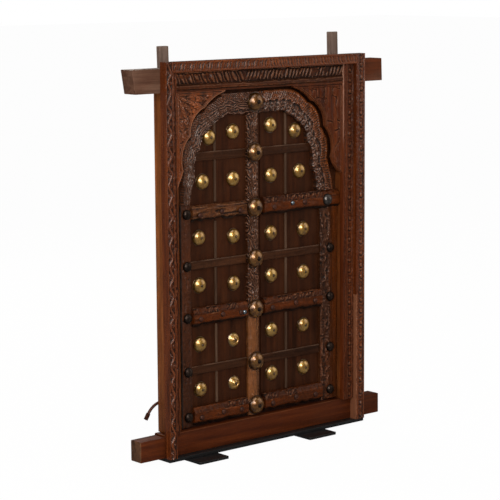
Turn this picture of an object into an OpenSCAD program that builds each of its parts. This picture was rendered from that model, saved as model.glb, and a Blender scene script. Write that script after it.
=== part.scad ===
// A carved timber window with a horned frame and two boss-studded leaves, on a low steel stand.
// Millimetres. The front looks towards -Y, +Z is up, and the floor under the stand is Z = 0.

/* [Facing] */
// Width over the carved facing, outside to outside
facing_w = 616; // [560:1:680]
// Height of the carved facing
facing_h = 910; // [880:1:960]
// Thickness of the facing strips
facing_t = 22; // [18:1:28]
// Width of the left outer strip
outer_left_w = 21; // [16:1:24]
// Width of the right outer strip
outer_right_w = 28; // [22:1:32]
// Height of the top outer strip
outer_top_h = 24; // [18:1:30]
// Width of the left inner band
inner_left_w = 17; // [12:1:20]
// Width of the right inner band
inner_right_w = 36; // [28:1:38]
// Height of the top inner band
inner_top_h = 46; // [38:1:54]
// How far the inner bands lie behind the outer strips
band_step = 10; // [6:1:12]
// Depth of the gouge cuts in the strips
carve_depth = 3; // [1.5:0.5:4]
// Length of one motif along the left strip
scroll_pitch = 24; // [20:1:36]
// Length of one leaf along the right and top strips
leaf_pitch = 19; // [16:1:30]
// Width of one petal in the top inner band
petal_pitch = 14; // [12:1:20]
// Length of the stretch where the right strip has lost its inner bead
lost_bead = 330; // [200:10:420]
// Width of the bead along the right strip
bead_w = 6; // [4:0.5:7]

/* [Frame] */
// Height of the head beam
head_h = 55; // [46:1:62]
// Thickness of the head beam and the posts
head_t = 42; // [38:1:52]
// How far the head's horns stand out past the facing
head_horn = 79; // [50:1:95]
// Slant of the left end of the head, bottom behind top
horn_slant = 10; // [0:1:16]
// Height of the sill beam
sill_h = 54; // [46:1:64]
// Thickness of the sill beam
sill_t = 38; // [34:1:42]
// How far the sill's horns stand out past the facing
sill_horn = 70; // [45:1:78]
// Drop of the horns below the sill's top
sill_horn_drop = 5; // [2:1:10]
// Width of a post
post_w = 46; // [36:1:52]
// Width of the splay on the left post's inner front corner
splay_w = 13; // [8:1:16]
// How far a post's outer side lies inside the facing's edge
post_in = 13; // [9:1:18]
// Length of a post's tenon in the beams
tenon_h = 20; // [12:1:28]
// Thickness of a post's tenon
tenon_t = 14; // [10:1:16]

/* [Back battens] */
// Width of a back batten
batten_w = 27; // [20:1:34]
// Thickness of a back batten
batten_t = 12; // [8:1:18]
// Height of the left batten above the facing
batten_left_up = 33; // [20:1:60]
// Height of the right batten above the facing
batten_right_up = 52; // [20:1:70]

/* [Stand] */
// Thickness of the steel bar under the sill
bar_t = 8; // [5:1:12]
// Front to back width of the bar
bar_d = 54; // [40:1:56]
// Width of a foot
foot_w = 88; // [60:1:110]
// Front to back length of a foot
foot_l = 150; // [130:1:200]
// Thickness of a foot
foot_t = 6; // [4:1:10]
// How far the bar lies behind the facing's front
bar_in = 4; // [0:1:8]
// Distance of a toe in front of the facing
toe_out = 37; // [25:1:50]
// Middle of the left foot, left of the centre line
foot_left_x = 208; // [160:1:240]
// Middle of the right foot, right of the centre line
foot_right_x = 134; // [100:1:240]

/* [Hook] */
// Thickness of the round iron of the hook
hook_d = 7; // [5:0.5:9]
// Radius of the hook's bend
hook_bend = 50; // [36:1:60]
// Height of the hook's root above the sill's underside
hook_z = 122; // [90:1:200]
// Turn of the hook's bend in degrees
hook_turn = 58; // [40:1:75]
// Length of the flattened end
hook_tip = 15; // [8:1:20]

/* [Leaves] */
// Gap between a leaf and the post beside it
leaf_side_gap = 2; // [1.5:0.5:4]
// Gap between a leaf and the sill
leaf_low_gap = 3; // [2:0.5:5]
// Gap between a leaf and the head
leaf_top_gap = 3; // [2:0.5:5]
// Gap between the two leaves
meeting_gap = 3; // [2.5:0.5:5]
// Place of the meeting line, right of the centre line
meeting_x = 2; // [0:1:8]
// Distance from the facing's front to the boards' front
board_front = 43; // [41:1:46]
// Thickness of the boards
board_t = 14; // [12:1:16]
// Width of the left hanging stile
stile_left_w = 32; // [28:1:40]
// Width of the right hanging stile
stile_right_w = 57; // [44:1:64]
// How far a stile stands out in front of the boards
stile_proud = 6; // [4:1:8]
// Radius of the round heel that a stile turns on
heel_r = 10; // [8:0.5:11]
// Radius of a pivot pin
pivot_r = 6; // [4.5:0.5:7]
// Length of a pivot pin past the leaf's end gap
pivot_l = 20; // [14:1:26]
// Clearance round a pivot pin
pivot_clear = 0.3; // [0.2:0.05:0.5]

/* [Rails and battens] */
// Gap between the bottom rail and the leaf's lower end
rail_gap = 1; // [0.5:0.5:4]
// Height of the middle rail's middle in the leaf, as a share
rail_middle_share = 0.331; // [0.31:0.005:0.35]
// Height of the top rail's middle in the leaf, as a share
rail_top_share = 0.642; // [0.63:0.005:0.66]
// Height of a rail
rail_h = 46; // [38:1:48]
// How far a rail stands out in front of the boards
rail_proud = 19; // [14:1:20]
// Height of the carved bevel along a rail's top
rail_bevel = 9; // [5:1:12]
// Length of one leaf cut along a rail
rail_pitch = 17; // [14:1:24]
// Heights of the three flat battens in their bays, as shares
batten_share = [0.45, 0.5, 0.42];
// Gap between a flat batten's or fillet's end and the rim
rim_gap = 0.5; // [0.3:0.1:1.5]
// Height of a flat batten
flat_h = 21; // [16:1:26]
// Thickness of a flat batten
flat_t = 6; // [4:1:8]
// Width of a thin upright fillet
fillet_w = 6; // [4:1:10]
// Thickness of a thin upright fillet
fillet_t = 3; // [2:0.5:4]
// Place of the left leaf's fillet between its stile and the astragal, as a share
fillet_left_share = 0.456; // [0.42:0.005:0.5]
// Place of the right leaf's fillet between the meeting line and its stile, as a share
fillet_right_share = 0.42; // [0.38:0.005:0.46]

/* [Arch] */
// How far the arch's middle lies left of the middle between the bands
arch_off = 8; // [2:1:12]
// Gap between the arch's foot and the bands
arch_margin = 10; // [8:1:16]
// Cusps of the arch, as shares of its half width and of its height
cusps = [[1, 0], [0.915, 0.317], [0.83, 0.619], [0.66, 0.865], [0.425, 0.996]];
// Rise of the lobe between each two cusps, as a share of its chord
lobe_rise = [0.036, 0.152, 0.173, 0.075];
// Share of the arch that stays open inside the rim
rim_open = 0.80; // [0.79:0.005:0.82]
// How far the rim's top lies under the leaf's upper end
rim_drop = 4; // [2:0.5:6]
// Step between the rim's outer moulding and its inner lip
rim_rise = 5; // [3:0.5:7]
// Radius of the gouge cuts across the rim
gouge_r = 3.5; // [2.5:0.5:4.5]
// How far the rim stands out in front of the boards
rim_proud = 17; // [12:1:18]
// Gap between the rim's outline and the spandrels' cusped edge
cusp_gap = 4; // [2:0.5:8]
// How far the spandrels lie behind the outer strips
spandrel_step = 12; // [10:1:15]
// Height of the spandrels' feet over the spring, as a share of the arch's height
spandrel_foot = 0.16; // [0.08:0.01:0.24]
// Width of the plain border round a spandrel
spandrel_border = 9; // [6:0.5:11]
// Depth of a spandrel's carved field behind its border
spandrel_field = 3; // [2:0.5:4]
// Radius of a leaf in a spandrel's carved field
spray_r = 8; // [6:0.5:10]

/* [Astragal] */
// Width of the astragal
astragal_w = 37; // [30:1:40]
// Distance of the astragal's right edge from the meeting line
astragal_back = 9; // [6:1:14]
// How far the astragal stands out in front of the boards
astragal_proud = 14; // [10:1:18]
// Length of one twisted leaf along the astragal
twist_pitch = 22; // [18:1:32]
// Height up to which the astragal's carving is worn away
worn_h = 300; // [200:10:400]

/* [Bosses and nails] */
// Radius of a small brass boss
small_r = 19; // [16:0.5:19]
// Height of a small brass boss
small_h = 12.5; // [10:0.5:14]
// Radius of a large brass boss
large_r = 23; // [19:0.5:24]
// Height of a large brass boss
large_h = 15; // [11:0.5:17]
// Wall of the brass
brass_t = 1.4; // [1:0.1:2]
// Radius of a boss nail's shank
shank_r = 1.8; // [1.4:0.1:2.4]
// Length of a boss nail in the wood
shank_l = 11; // [8:1:11]
// Places of the boss columns on the left leaf's two boards, as shares
left_col_share = [0.37, 0.59];
// Places of the boss columns on the right leaf's two boards, as shares
right_col_share = [0.4, 0.52];
// Height of the topmost bosses in the arch, as a share
arch_boss_share = 0.595; // [0.58:0.005:0.61]
// How far the topmost outer bosses stand in from the rim's inner chord beside them
arch_boss_in = 14; // [14:0.5:24]
// How far the arch draws in the outer bosses of the row below
pull_low = 12; // [4:1:20]
// How far each boss of the left leaf stands over its row's line, outer and inner, from the lowest row up
left_lift = [[0, 0], [3, 0], [6, 0], [9, 3], [0, 0], [0, 9]];
// How far each boss of the right leaf stands over its row's line, inner and outer, from the lowest row up
right_lift = [[7, 7], [9, 8], [6, 3], [0, 0], [0, 3], [18, 0]];
// Radius of a stile nail's domed head
stud_r = 12; // [8:0.5:12]
// Height of a stile nail's domed head
stud_h = 8; // [6:0.5:9]
// How far the right leaf's top nail stands in from the line of the nails below it
lap_nail_in = 17; // [8:1:18]

/* [Hidden] */
$fn = 48;

// Depths, measured from the facing's front plane and turned into Y
front_y = -foot_l / 2 + toe_out;
back_front = front_y + facing_t;
band_front = front_y + band_step;
board_y = front_y + board_front;
board_back = board_y + board_t;
frame_back = back_front + head_t;

// Heights, with the timber standing on the steel bar
base_z = foot_t + bar_t;
sill_top = base_z + sill_h;
facing_top_z = base_z + facing_h;
head_z = facing_top_z - outer_top_h - inner_top_h;
leaf_low = sill_top + leaf_low_gap;
leaf_high = head_z - leaf_top_gap;
leaf_h = leaf_high - leaf_low;

// Edges across the window
half_w = facing_w / 2;
jamb = half_w - post_in - post_w;
leaf_left = -jamb + leaf_side_gap;
leaf_right = jamb - leaf_side_gap;
left_end = meeting_x - meeting_gap / 2;
right_end = meeting_x + meeting_gap / 2;
left_stile_in = leaf_left + stile_left_w;
right_stile_in = leaf_right - stile_right_w;
inner_left_x = -half_w + outer_left_w + inner_left_w;
inner_right_x = half_w - outer_right_w - inner_right_w;
pivot_left = leaf_left + heel_r;
pivot_right = leaf_right - heel_r;
pivot_y = board_back - heel_r;

// The rails, the bays between them, and the spring of the arch on the top rail
rail_mid = [leaf_low + rail_gap + rail_h / 2,
    leaf_low + rail_middle_share * leaf_h, leaf_low + rail_top_share * leaf_h];
bay_low = [for (z = rail_mid) z + rail_h / 2];
bay_high = [rail_mid[1] - rail_h / 2, rail_mid[2] - rail_h / 2, leaf_high];
flat_mid = [for (i = [0:2]) bay_low[i] + batten_share[i] * (bay_high[i] - bay_low[i])];
spring = bay_low[2];
rail_overlap = 6;
astragal_right = meeting_x - astragal_back;
astragal_left = astragal_right - astragal_w;
rail_left_end = astragal_left - rail_overlap;

// The arch stands between the bands and within the leaves
arch_x = (inner_left_x + inner_right_x) / 2 - arch_off;
arch_a = min((inner_right_x - inner_left_x) / 2 - arch_margin, (leaf_right - leaf_left) / 2);
rim_high = leaf_high - rim_drop;
arch_b = rim_high - spring;
cusp_at = [for (c = cusps) [c[0] * arch_a, c[1] * arch_b]];
rim_top = spring + rim_open * cusp_at[4][1];
large_x = (astragal_left + astragal_right) / 2;
large_z = [rail_mid[0], flat_mid[0], rail_mid[1], flat_mid[1], rail_mid[2], flat_mid[2],
    (rim_top + rim_high) / 2];

// Small bosses stand in two columns and two rows of each bay, drawn in under the arch
fillet_left_x = left_stile_in + fillet_left_share * (astragal_left - left_stile_in);
fillet_right_x = right_end + fillet_right_share * (right_stile_in - right_end);
left_cols = [left_stile_in + left_col_share[0] * (fillet_left_x - left_stile_in),
    fillet_left_x + left_col_share[1] * (astragal_left - fillet_left_x)];
right_cols = [right_end + right_col_share[0] * (fillet_right_x - right_end),
    fillet_right_x + right_col_share[1] * (right_stile_in - fillet_right_x)];
low_rows = [for (i = [0:2]) (bay_low[i] + flat_mid[i] - flat_h / 2) / 2];
high_rows = [for (i = [0:2])
    i < 2 ? (bay_high[i] + flat_mid[i] + flat_h / 2) / 2 : spring + arch_boss_share * arch_b];
rows = [for (i = [0:2]) each [low_rows[i], high_rows[i]]];
arch_along = (arch_boss_share / rim_open - cusps[2][1]) / (cusps[3][1] - cusps[2][1]);
arch_side = rim_open * arch_a * (cusps[2][0] + arch_along * (cusps[3][0] - cusps[2][0])) - arch_boss_in;
left_outer_x = [for (i = [0:5]) i < 5 ? left_cols[0] + (i == 4 ? pull_low : 0) : arch_x - arch_side];
right_outer_x = [for (i = [0:5]) i < 5 ? right_cols[1] - (i == 4 ? pull_low : 0) : arch_x + arch_side];
left_boss_at = [for (i = [0:5]) each [
    [left_outer_x[i], rows[i] + left_lift[i][0]], [left_cols[1], rows[i] + left_lift[i][1]]]];
right_boss_at = [for (i = [0:5]) each [
    [right_cols[0], rows[i] + right_lift[i][0]], [right_outer_x[i], rows[i] + right_lift[i][1]]]];

// Stile nails stand level with the rails and the two lower flat battens
stud_z = [rail_mid[0], flat_mid[0], rail_mid[1], flat_mid[1], rail_mid[2]];
left_stud_x = leaf_left + stile_left_w * 0.6;
right_stud_x = leaf_right - stile_right_w * 0.45;
stile_y = board_y - stile_proud;
top_lap_t = 10;
arris = 1;

timber = "saddlebrown";
carved = "sienna";
dark = [0.26, 0.14, 0.09];
brass = "darkgoldenrod";
iron = [0.22, 0.21, 0.21];
steel = [0.12, 0.12, 0.13];

// A plain block between two corners
module block(low, high) {
    translate(low) cube(high - low);
}

// Stands an outline drawn in X and Z upright, from one depth to another
module upright(y_front, y_back) {
    translate([0, y_back, 0]) rotate([90, 0, 0]) linear_extrude(y_back - y_front) children();
}

// A strip along +X with its front at Y = 0, its low edge at Z = 0 and a bead along each edge
module strip(length, width, thick, bead) {
    dip = 1.5;
    rotate([90, 0, 90]) linear_extrude(length) polygon([
        [0, 0], [0, bead], [dip, bead + dip], [dip / 2, width / 2],
        [dip, width - bead - dip], [0, width - bead], [0, width], [thick, width], [thick, 0]]);
}

// Slanted gouge cuts along a strip, turned over at its middle
module leaf_cuts(length, width, pitch, bead) {
    count = floor((length - pitch) / pitch);
    start = (length - (count - 1) * pitch) / 2;
    reach = width - 2 * bead;
    for (i = [0:count - 1])
        translate([start + i * pitch, 0, width / 2])
            rotate([0, (i < count / 2 ? 1 : -1) * 38, 0])
                translate([0, -carve_depth / 2, -reach / 2])
                    cylinder(r = carve_depth * 1.2, h = reach);
}

// Ring cuts along a strip, one for each scroll
module scroll_cuts(length, width, pitch, bead) {
    count = floor((length - pitch) / pitch);
    start = (length - (count - 1) * pitch) / 2;
    ring = width / 2 - bead - carve_depth / 2;
    for (i = [0:count - 1])
        translate([start + i * pitch, 0, width / 2])
            rotate([90, 0, 0])
                rotate_extrude()
                    translate([ring, 0])
                        polygon([[-carve_depth / 2, 1], [carve_depth / 2, 1], [0, -carve_depth]]);
}

// Turns a strip along +X into an upright one whose low edge in width is at its left
module stand_up(x_left, z_low) {
    translate([x_left, 0, z_low]) multmatrix([
        [0, 0, 1, 0], [0, 1, 0, 0], [1, 0, 0, 0], [0, 0, 0, 1]]) children();
}

// The cusped outline over the spring line, about X = 0: a round lobe between each two cusps
module arch_outline() {
    for (side = [-1, 1])
        for (i = [0:3]) {
            along = cusp_at[i + 1] - cusp_at[i];
            middle = (cusp_at[i + 1] + cusp_at[i]) / 2;
            chord = norm(along);
            rise = chord * lobe_rise[i];
            lobe_r = (chord * chord / 4 + rise * rise) / (2 * rise);
            translate([side * middle[0], middle[1]])
                rotate(side * atan2(-along[1], -along[0]))
                    intersection() {
                        translate([0, rise - lobe_r]) circle(r = lobe_r, $fn = 96);
                        translate([-chord / 2, -rise]) square([chord, 3 * rise]);
                    }
        }
    polygon(concat(
        [[-arch_a, -arch_margin]], [for (c = cusp_at) [-c[0], c[1]]],
        [for (i = [4:-1:0]) cusp_at[i]], [[arch_a, -arch_margin]]));
}

// The arch at a share of its size, standing on the spring line
module arch(share) {
    translate([arch_x, spring]) scale(share) arch_outline();
}

// The part of an outline in X and Z that lies between two corners
module window(x_low, x_high, z_low, z_high) {
    intersection() {
        children();
        translate([x_low, z_low]) square([x_high - x_low, z_high - z_low]);
    }
}

module head_beam() {
    color(timber) difference() {
        upright(back_front, frame_back) polygon([
            [-half_w - head_horn + horn_slant, head_z], [half_w + head_horn, head_z],
            [half_w + head_horn, head_z + head_h], [-half_w - head_horn, head_z + head_h]]);
        for (x = [pivot_left, pivot_right])
            translate([x, pivot_y, head_z - 1])
                cylinder(r = pivot_r + pivot_clear, h = pivot_l + pivot_clear + 1);
        for (side = [-1, 1]) post_tenon(side, head_z, head_z + tenon_h);
    }
}

module sill_beam() {
    low = sill_top - sill_horn_drop;
    color(timber) difference() {
        upright(back_front, back_front + sill_t) polygon([
            [-half_w - sill_horn, base_z], [half_w + sill_horn, base_z], [half_w + sill_horn, low],
            [half_w, low], [half_w, sill_top], [-half_w, sill_top], [-half_w, low],
            [-half_w - sill_horn, low]]);
        for (x = [pivot_left, pivot_right])
            translate([x, pivot_y, sill_top - pivot_l - pivot_clear])
                cylinder(r = pivot_r + pivot_clear, h = pivot_l + pivot_clear + 1);
        for (side = [-1, 1]) post_tenon(side, sill_top - tenon_h, sill_top);
    }
}

// The tenon of a post, which the beams' mortises repeat
module post_tenon(side, z_low, z_high) {
    mid_x = side * (jamb + post_w / 2);
    mid_y = back_front + sill_t / 2;
    block([mid_x - post_w / 4, mid_y - tenon_t / 2, z_low], [mid_x + post_w / 4, mid_y + tenon_t / 2, z_high]);
}

module post(side, splay) {
    color(timber) union() {
        translate([0, 0, sill_top]) linear_extrude(head_z - sill_top) polygon([
            [side * (jamb + post_w), back_front], [side * (jamb + splay), back_front],
            [side * jamb, back_front + splay], [side * jamb, frame_back],
            [side * (jamb + post_w), frame_back]]);
        post_tenon(side, sill_top - tenon_h, sill_top);
        post_tenon(side, head_z, head_z + tenon_h);
    }
}

module left_post() {
    post(-1, splay_w);
}

module right_post() {
    post(1, arris);
}

module facing_left() {
    bead = 2.5;
    color(carved) translate([0, front_y, 0]) stand_up(-half_w, base_z) difference() {
        strip(facing_h, outer_left_w, facing_t, bead);
        scroll_cuts(facing_h, outer_left_w, scroll_pitch, bead);
    }
}

module facing_right() {
    color(carved) translate([0, front_y, 0]) stand_up(half_w - outer_right_w, base_z) difference() {
        strip(facing_h, outer_right_w, facing_t, bead_w);
        leaf_cuts(facing_h, outer_right_w, leaf_pitch, bead_w);
        // the bead that has come away along the lower part
        block([-1, -1, -1], [lost_bead, facing_t * 0.35, bead_w * 0.6]);
    }
}

module facing_top() {
    bead = 3.5;
    length = facing_w - outer_left_w - outer_right_w;
    color(carved) translate([-half_w + outer_left_w, front_y, facing_top_z - outer_top_h]) difference() {
        strip(length, outer_top_h, facing_t, bead);
        leaf_cuts(length, outer_top_h, leaf_pitch, bead);
    }
}

module inner_band_left() {
    thick = facing_t - band_step;
    lip = 5;
    groove = 3;
    color(timber) translate([0, band_front, 0]) stand_up(-half_w + outer_left_w, sill_top)
        rotate([90, 0, 90]) linear_extrude(head_z + inner_top_h - sill_top) polygon([
            [0, 0], [0, lip], [groove - 1, lip + 1], [groove, inner_left_w - lip], [0, inner_left_w - lip + 1],
            [0, inner_left_w], [thick, inner_left_w], [thick, 0]]);
}

module inner_band_right() {
    bead = 6;
    length = head_z + inner_top_h - sill_top;
    color(carved) translate([0, band_front, 0]) stand_up(inner_right_x, sill_top) difference() {
        strip(length, inner_right_w, facing_t - band_step, bead);
        scroll_cuts(length, inner_right_w, scroll_pitch * 1.25, bead);
    }
}

module inner_band_top() {
    bead = 8;
    length = inner_right_x - inner_left_x;
    count = floor(length / petal_pitch);
    pitch = length / count;
    color(carved) translate([inner_left_x, band_front, head_z]) difference() {
        strip(length, inner_top_h, facing_t - band_step, bead);
        for (i = [1:count - 1])
            translate([i * pitch, 0, bead + 2])
                rotate([0, 18, 0])
                    translate([0, -carve_depth / 3, 0])
                        cylinder(r = carve_depth, h = inner_top_h - 2 * bead - 4);
    }
}

// The outline of a corner panel: the corner less the arch at a share of its size
module corner(side, inset, share) {
    edge = side < 0 ? inner_left_x + inset : inner_right_x - inset;
    tip = arch_x + side * cusp_at[4][0];
    z_low = spring + spandrel_foot * arch_b;
    difference() {
        translate([min(edge, tip), z_low]) square([abs(edge - tip), head_z - inset - z_low]);
        arch(share);
    }
}

// A corner panel with a plain border, a cusped edge that follows the arch, and a spray of leaves
module spandrel(side) {
    edge_share = 1 + cusp_gap / arch_a;
    field_share = edge_share + spandrel_border / arch_a;
    y_front = front_y + spandrel_step;
    spray_sink = 0.6;
    heart = [side < 0 ? inner_left_x : inner_right_x, head_z];
    color(carved) union() {
        upright(y_front + spandrel_field, back_front) corner(side, 0, edge_share);
        upright(y_front, y_front + spandrel_field) difference() {
            corner(side, 0, edge_share);
            corner(side, spandrel_border, field_share);
        }
        intersection() {
            upright(y_front, back_front) corner(side, spandrel_border, field_share);
            for (turn = [9:18:81])
                translate([heart[0], y_front + spray_r + spray_sink, heart[1]])
                    rotate([0, side * turn, 0])
                        translate([0, 0, -arch_b])
                            cylinder(r = spray_r, h = arch_b - 4 * spandrel_border);
        }
    }
}

module spandrel_left() {
    spandrel(-1);
}

module spandrel_right() {
    spandrel(1);
}

module back_batten(side, up) {
    x = side < 0 ? -jamb - batten_w : jamb;
    color(timber) block([x, frame_back, base_z], [x + batten_w, frame_back + batten_t, facing_top_z + up]);
}

module back_batten_left() {
    back_batten(-1, batten_left_up);
}

module back_batten_right() {
    back_batten(1, batten_right_up);
}

module stand_bar() {
    color(steel) block([-half_w, front_y + bar_in, foot_t], [half_w, front_y + bar_in + bar_d, base_z]);
}

module foot(x) {
    corner = 3;
    color(steel) linear_extrude(foot_t) polygon([
        [x - foot_w / 2 + corner, -foot_l / 2], [x + foot_w / 2 - corner, -foot_l / 2],
        [x + foot_w / 2, -foot_l / 2 + corner], [x + foot_w / 2, foot_l / 2 - corner],
        [x + foot_w / 2 - corner, foot_l / 2], [x - foot_w / 2 + corner, foot_l / 2],
        [x - foot_w / 2, foot_l / 2 - corner], [x - foot_w / 2, -foot_l / 2 + corner]]);
}

module foot_left() {
    foot(-foot_left_x);
}

module foot_right() {
    foot(foot_right_x);
}

// A bent iron bar from the left batten's outer edge, with a flattened end
module iron_hook() {
    root = [-jamb - batten_w, frame_back + batten_t / 2, base_z + hook_z];
    color(iron) translate(root) rotate([90, 0, 0]) union() {
        translate([0, -hook_bend, 0]) rotate([0, 0, 90])
            rotate_extrude(angle = hook_turn) translate([hook_bend, 0]) circle(d = hook_d, $fn = 24);
        translate([-hook_bend * sin(hook_turn), -hook_bend * (1 - cos(hook_turn)), 0])
            rotate([0, 0, 180 + hook_turn])
                translate([hook_tip / 2 - 0.5, 0, 0])
                    cube([hook_tip + 1, hook_d * 1.25, hook_d * 0.7], center = true);
    }
}

// Two boards side by side with an open seam, drilled for the boss nails
module boards(x_low, x_seam, x_high, bosses) {
    seam = 0.6;
    color(dark) difference() {
        union() {
            block([x_low, board_y, leaf_low], [x_seam - seam / 2, board_back, leaf_high]);
            block([x_seam + seam / 2, board_y, leaf_low], [x_high, board_back, leaf_high]);
        }
        for (p = bosses)
            translate([p[0], board_y - 1, p[1]])
                rotate([-90, 0, 0]) cylinder(r = shank_r, h = shank_l + 1, $fn = 24);
    }
}

module left_boards() {
    boards(left_stile_in, fillet_left_x, left_end, left_boss_at);
}

module right_boards() {
    boards(right_end, fillet_right_x, right_stile_in, right_boss_at);
}

// A hanging stile with a round heel and a pivot pin at each end; built for the left, side -1
module stile(side, edge, width, pivot_x) {
    heel = [for (a = [0:15:90]) [pivot_x + side * heel_r * sin(a), pivot_y + heel_r * cos(a)]];
    inner = edge - side * width;
    color(dark) union() {
        translate([0, 0, leaf_low]) linear_extrude(spring - leaf_low)
            polygon(concat(heel, [[edge, stile_y], [inner, stile_y], [inner, board_back]]));
        translate([0, 0, spring]) linear_extrude(leaf_high - spring)
            polygon(concat(heel, [[edge, board_y], [inner, board_y], [inner, board_back]]));
        translate([pivot_x, pivot_y, sill_top - pivot_l]) cylinder(r = pivot_r, h = pivot_l + leaf_low_gap + 1);
        translate([pivot_x, pivot_y, leaf_high - 1]) cylinder(r = pivot_r, h = pivot_l + leaf_top_gap + 1);
    }
}

module left_stile() {
    stile(-1, leaf_left, stile_left_w, pivot_left);
}

module right_stile() {
    stile(1, leaf_right, stile_right_w, pivot_right);
}

// Gouge cuts across the rim, four to a lobe
module rim_gouges(side, y_front) {
    cuts = 4;
    middle = (1 + rim_open) / 2;
    for (i = [0:3])
        for (k = [0:cuts - 1]) {
            along = cusp_at[i + 1] - cusp_at[i];
            at = (cusp_at[i] + along * (k + 0.5) / cuts) * middle;
            reach = arch_a * (1 - rim_open) * 0.5;
            translate([arch_x + side * at[0], y_front - gouge_r * 0.4, spring + at[1]])
                rotate([0, side * atan2(along[1], -along[0]), 0])
                    translate([0, 0, -reach / 2]) cylinder(r = gouge_r, h = reach, $fn = 24);
        }
}

// Half of the cusped rim, planted on the boards over the top rail, with a flat seat by the meeting line
module rim(side, x_low, x_high, seat_low, seat_high) {
    y_front = board_y - rim_proud;
    inner_line = rim_open + (1 - rim_open) * 0.35;
    upright(y_front + rim_rise, board_y) window(x_low, x_high, spring, rim_high) difference() {
        arch(1);
        arch(rim_open);
    }
    difference() {
        upright(y_front, y_front + rim_rise) window(x_low, x_high, spring, rim_high) union() {
            difference() {
                arch(1);
                arch(inner_line);
            }
            window(seat_low, seat_high, spring, rim_high) difference() {
                arch(1);
                arch(rim_open);
            }
        }
        rim_gouges(side, y_front);
    }
}

module left_rim() {
    color(carved) difference() {
        rim(-1, leaf_left, left_end, large_x - large_r - rim_gap, left_end);
        translate([large_x, board_y - rim_proud - 1, large_z[6]])
            rotate([-90, 0, 0]) cylinder(r = shank_r, h = shank_l + 1, $fn = 24);
    }
}

module right_rim() {
    color(carved) rim(1, right_end, leaf_right, right_end, right_end + large_r);
}

// A planted rail: bevelled and leaf-cut along its top, scalloped along its foot
module rail(x_low, x_high, mid) {
    y_front = board_y - rail_proud;
    count = floor((x_high - x_low) / rail_pitch);
    pitch = (x_high - x_low) / count;
    scallop_r = 16;
    scallop_bite = 3;
    chamfer = 3;
    notch = 5;
    scallops = floor((x_high - x_low) / (2 * scallop_r));
    color(carved) difference() {
        translate([x_low, 0, mid - rail_h / 2]) rotate([90, 0, 90]) linear_extrude(x_high - x_low) polygon([
            [board_y, 0], [y_front + chamfer, 0], [y_front, chamfer + 1], [y_front, rail_h - rail_bevel],
            [y_front + rail_bevel, rail_h], [board_y, rail_h]]);
        for (i = [0:count - 1])
            translate([x_low + (i + 0.5) * pitch, y_front + rail_bevel / 2, mid + rail_h / 2 - rail_bevel / 2])
                rotate([45, 0, 0]) rotate([0, 45, 0]) cube([notch, rail_bevel * 1.2, notch], center = true);
        for (i = [0:scallops - 1])
            translate([x_low + (i + 0.5) * (x_high - x_low) / scallops, y_front - 1,
                mid - rail_h / 2 - scallop_r + scallop_bite])
                rotate([-90, 0, 0]) cylinder(r = scallop_r, h = rail_proud * 0.4);
    }
}

module left_rail_bottom() {
    rail(left_stile_in, rail_left_end, rail_mid[0]);
}

module left_rail_middle() {
    rail(left_stile_in, rail_left_end, rail_mid[1]);
}

module left_rail_top() {
    rail(left_stile_in, rail_left_end, rail_mid[2]);
}

module right_rail_bottom() {
    rail(right_end, right_stile_in, rail_mid[0]);
}

module right_rail_middle() {
    rail(right_end, right_stile_in, rail_mid[1]);
}

// The right top rail laps over the stile to the leaf's edge
module right_rail_top() {
    lap_up = 6;
    color(carved) union() {
        rail(right_end, right_stile_in, rail_mid[2]);
        block([right_stile_in, stile_y - top_lap_t, rail_mid[2] - rail_h / 2 + lap_up],
            [leaf_right, stile_y, rail_mid[2] + rail_h / 2]);
    }
}

// Flat battens across the middle of each bay, the top one stopped by the rim
module flat_battens(x_low, x_high) {
    color(dark) upright(board_y - flat_t, board_y) {
        for (z = [flat_mid[0], flat_mid[1]])
            translate([x_low, z - flat_h / 2]) square([x_high - x_low, flat_h]);
        intersection() {
            translate([x_low, flat_mid[2] - flat_h / 2]) square([x_high - x_low, flat_h]);
            arch(rim_open - rim_gap / arch_a);
        }
    }
}

module left_flat_battens() {
    flat_battens(left_stile_in, astragal_left);
}

module right_flat_battens() {
    flat_battens(right_end, right_stile_in);
}

// Thin upright fillets over the boards' seam, cut round the rails, the flat battens, the rim and the bosses
module fillets(x, bosses) {
    boss_gap = 1;
    lows = [for (i = [0:2]) each [bay_low[i], flat_mid[i] + flat_h / 2]];
    highs = [for (i = [0:2]) each [flat_mid[i] - flat_h / 2, bay_high[i]]];
    color(dark) upright(board_y - fillet_t, board_y) difference() {
        intersection() {
            for (i = [0:5])
                translate([x - fillet_w / 2, lows[i]]) square([fillet_w, highs[i] - lows[i]]);
            union() {
                translate([leaf_left, leaf_low]) square([leaf_right - leaf_left, spring - leaf_low]);
                arch(rim_open - rim_gap / arch_a);
            }
        }
        for (p = bosses) translate(p) circle(r = small_r + boss_gap);
    }
}

module left_fillets() {
    fillets(fillet_left_x, left_boss_at);
}

module right_fillets() {
    fillets(fillet_right_x, right_boss_at);
}

// A hollow brass dome on a flat face at Y = 0, its top towards -Y, with a hole for its nail
module boss(radius, height) {
    round_r = (radius * radius + height * height) / (2 * height);
    rotate([90, 0, 0]) difference() {
        intersection() {
            translate([0, 0, height - round_r]) sphere(r = round_r, $fn = 64);
            cylinder(r = radius + 1, h = height + 1);
        }
        intersection() {
            translate([0, 0, height - round_r]) sphere(r = round_r - brass_t, $fn = 64);
            translate([0, 0, -1]) cylinder(r = radius, h = height + 1);
        }
        cylinder(r = shank_r, h = height + 1, $fn = 24);
    }
}

// A boss nail: its head on the dome and its shank in the wood
module boss_nail(height) {
    head_r = shank_r * 1.9;
    head_h = shank_r * 1.3;
    rotate([90, 0, 0]) union() {
        translate([0, 0, -shank_l]) cylinder(r = shank_r, h = shank_l + height + 0.5, $fn = 24);
        translate([0, 0, height]) cylinder(r1 = head_r, r2 = shank_r * 0.9, h = head_h, $fn = 24);
    }
}

module left_bosses() {
    color(brass) for (p = left_boss_at) translate([p[0], board_y, p[1]]) boss(small_r, small_h);
}

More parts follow.
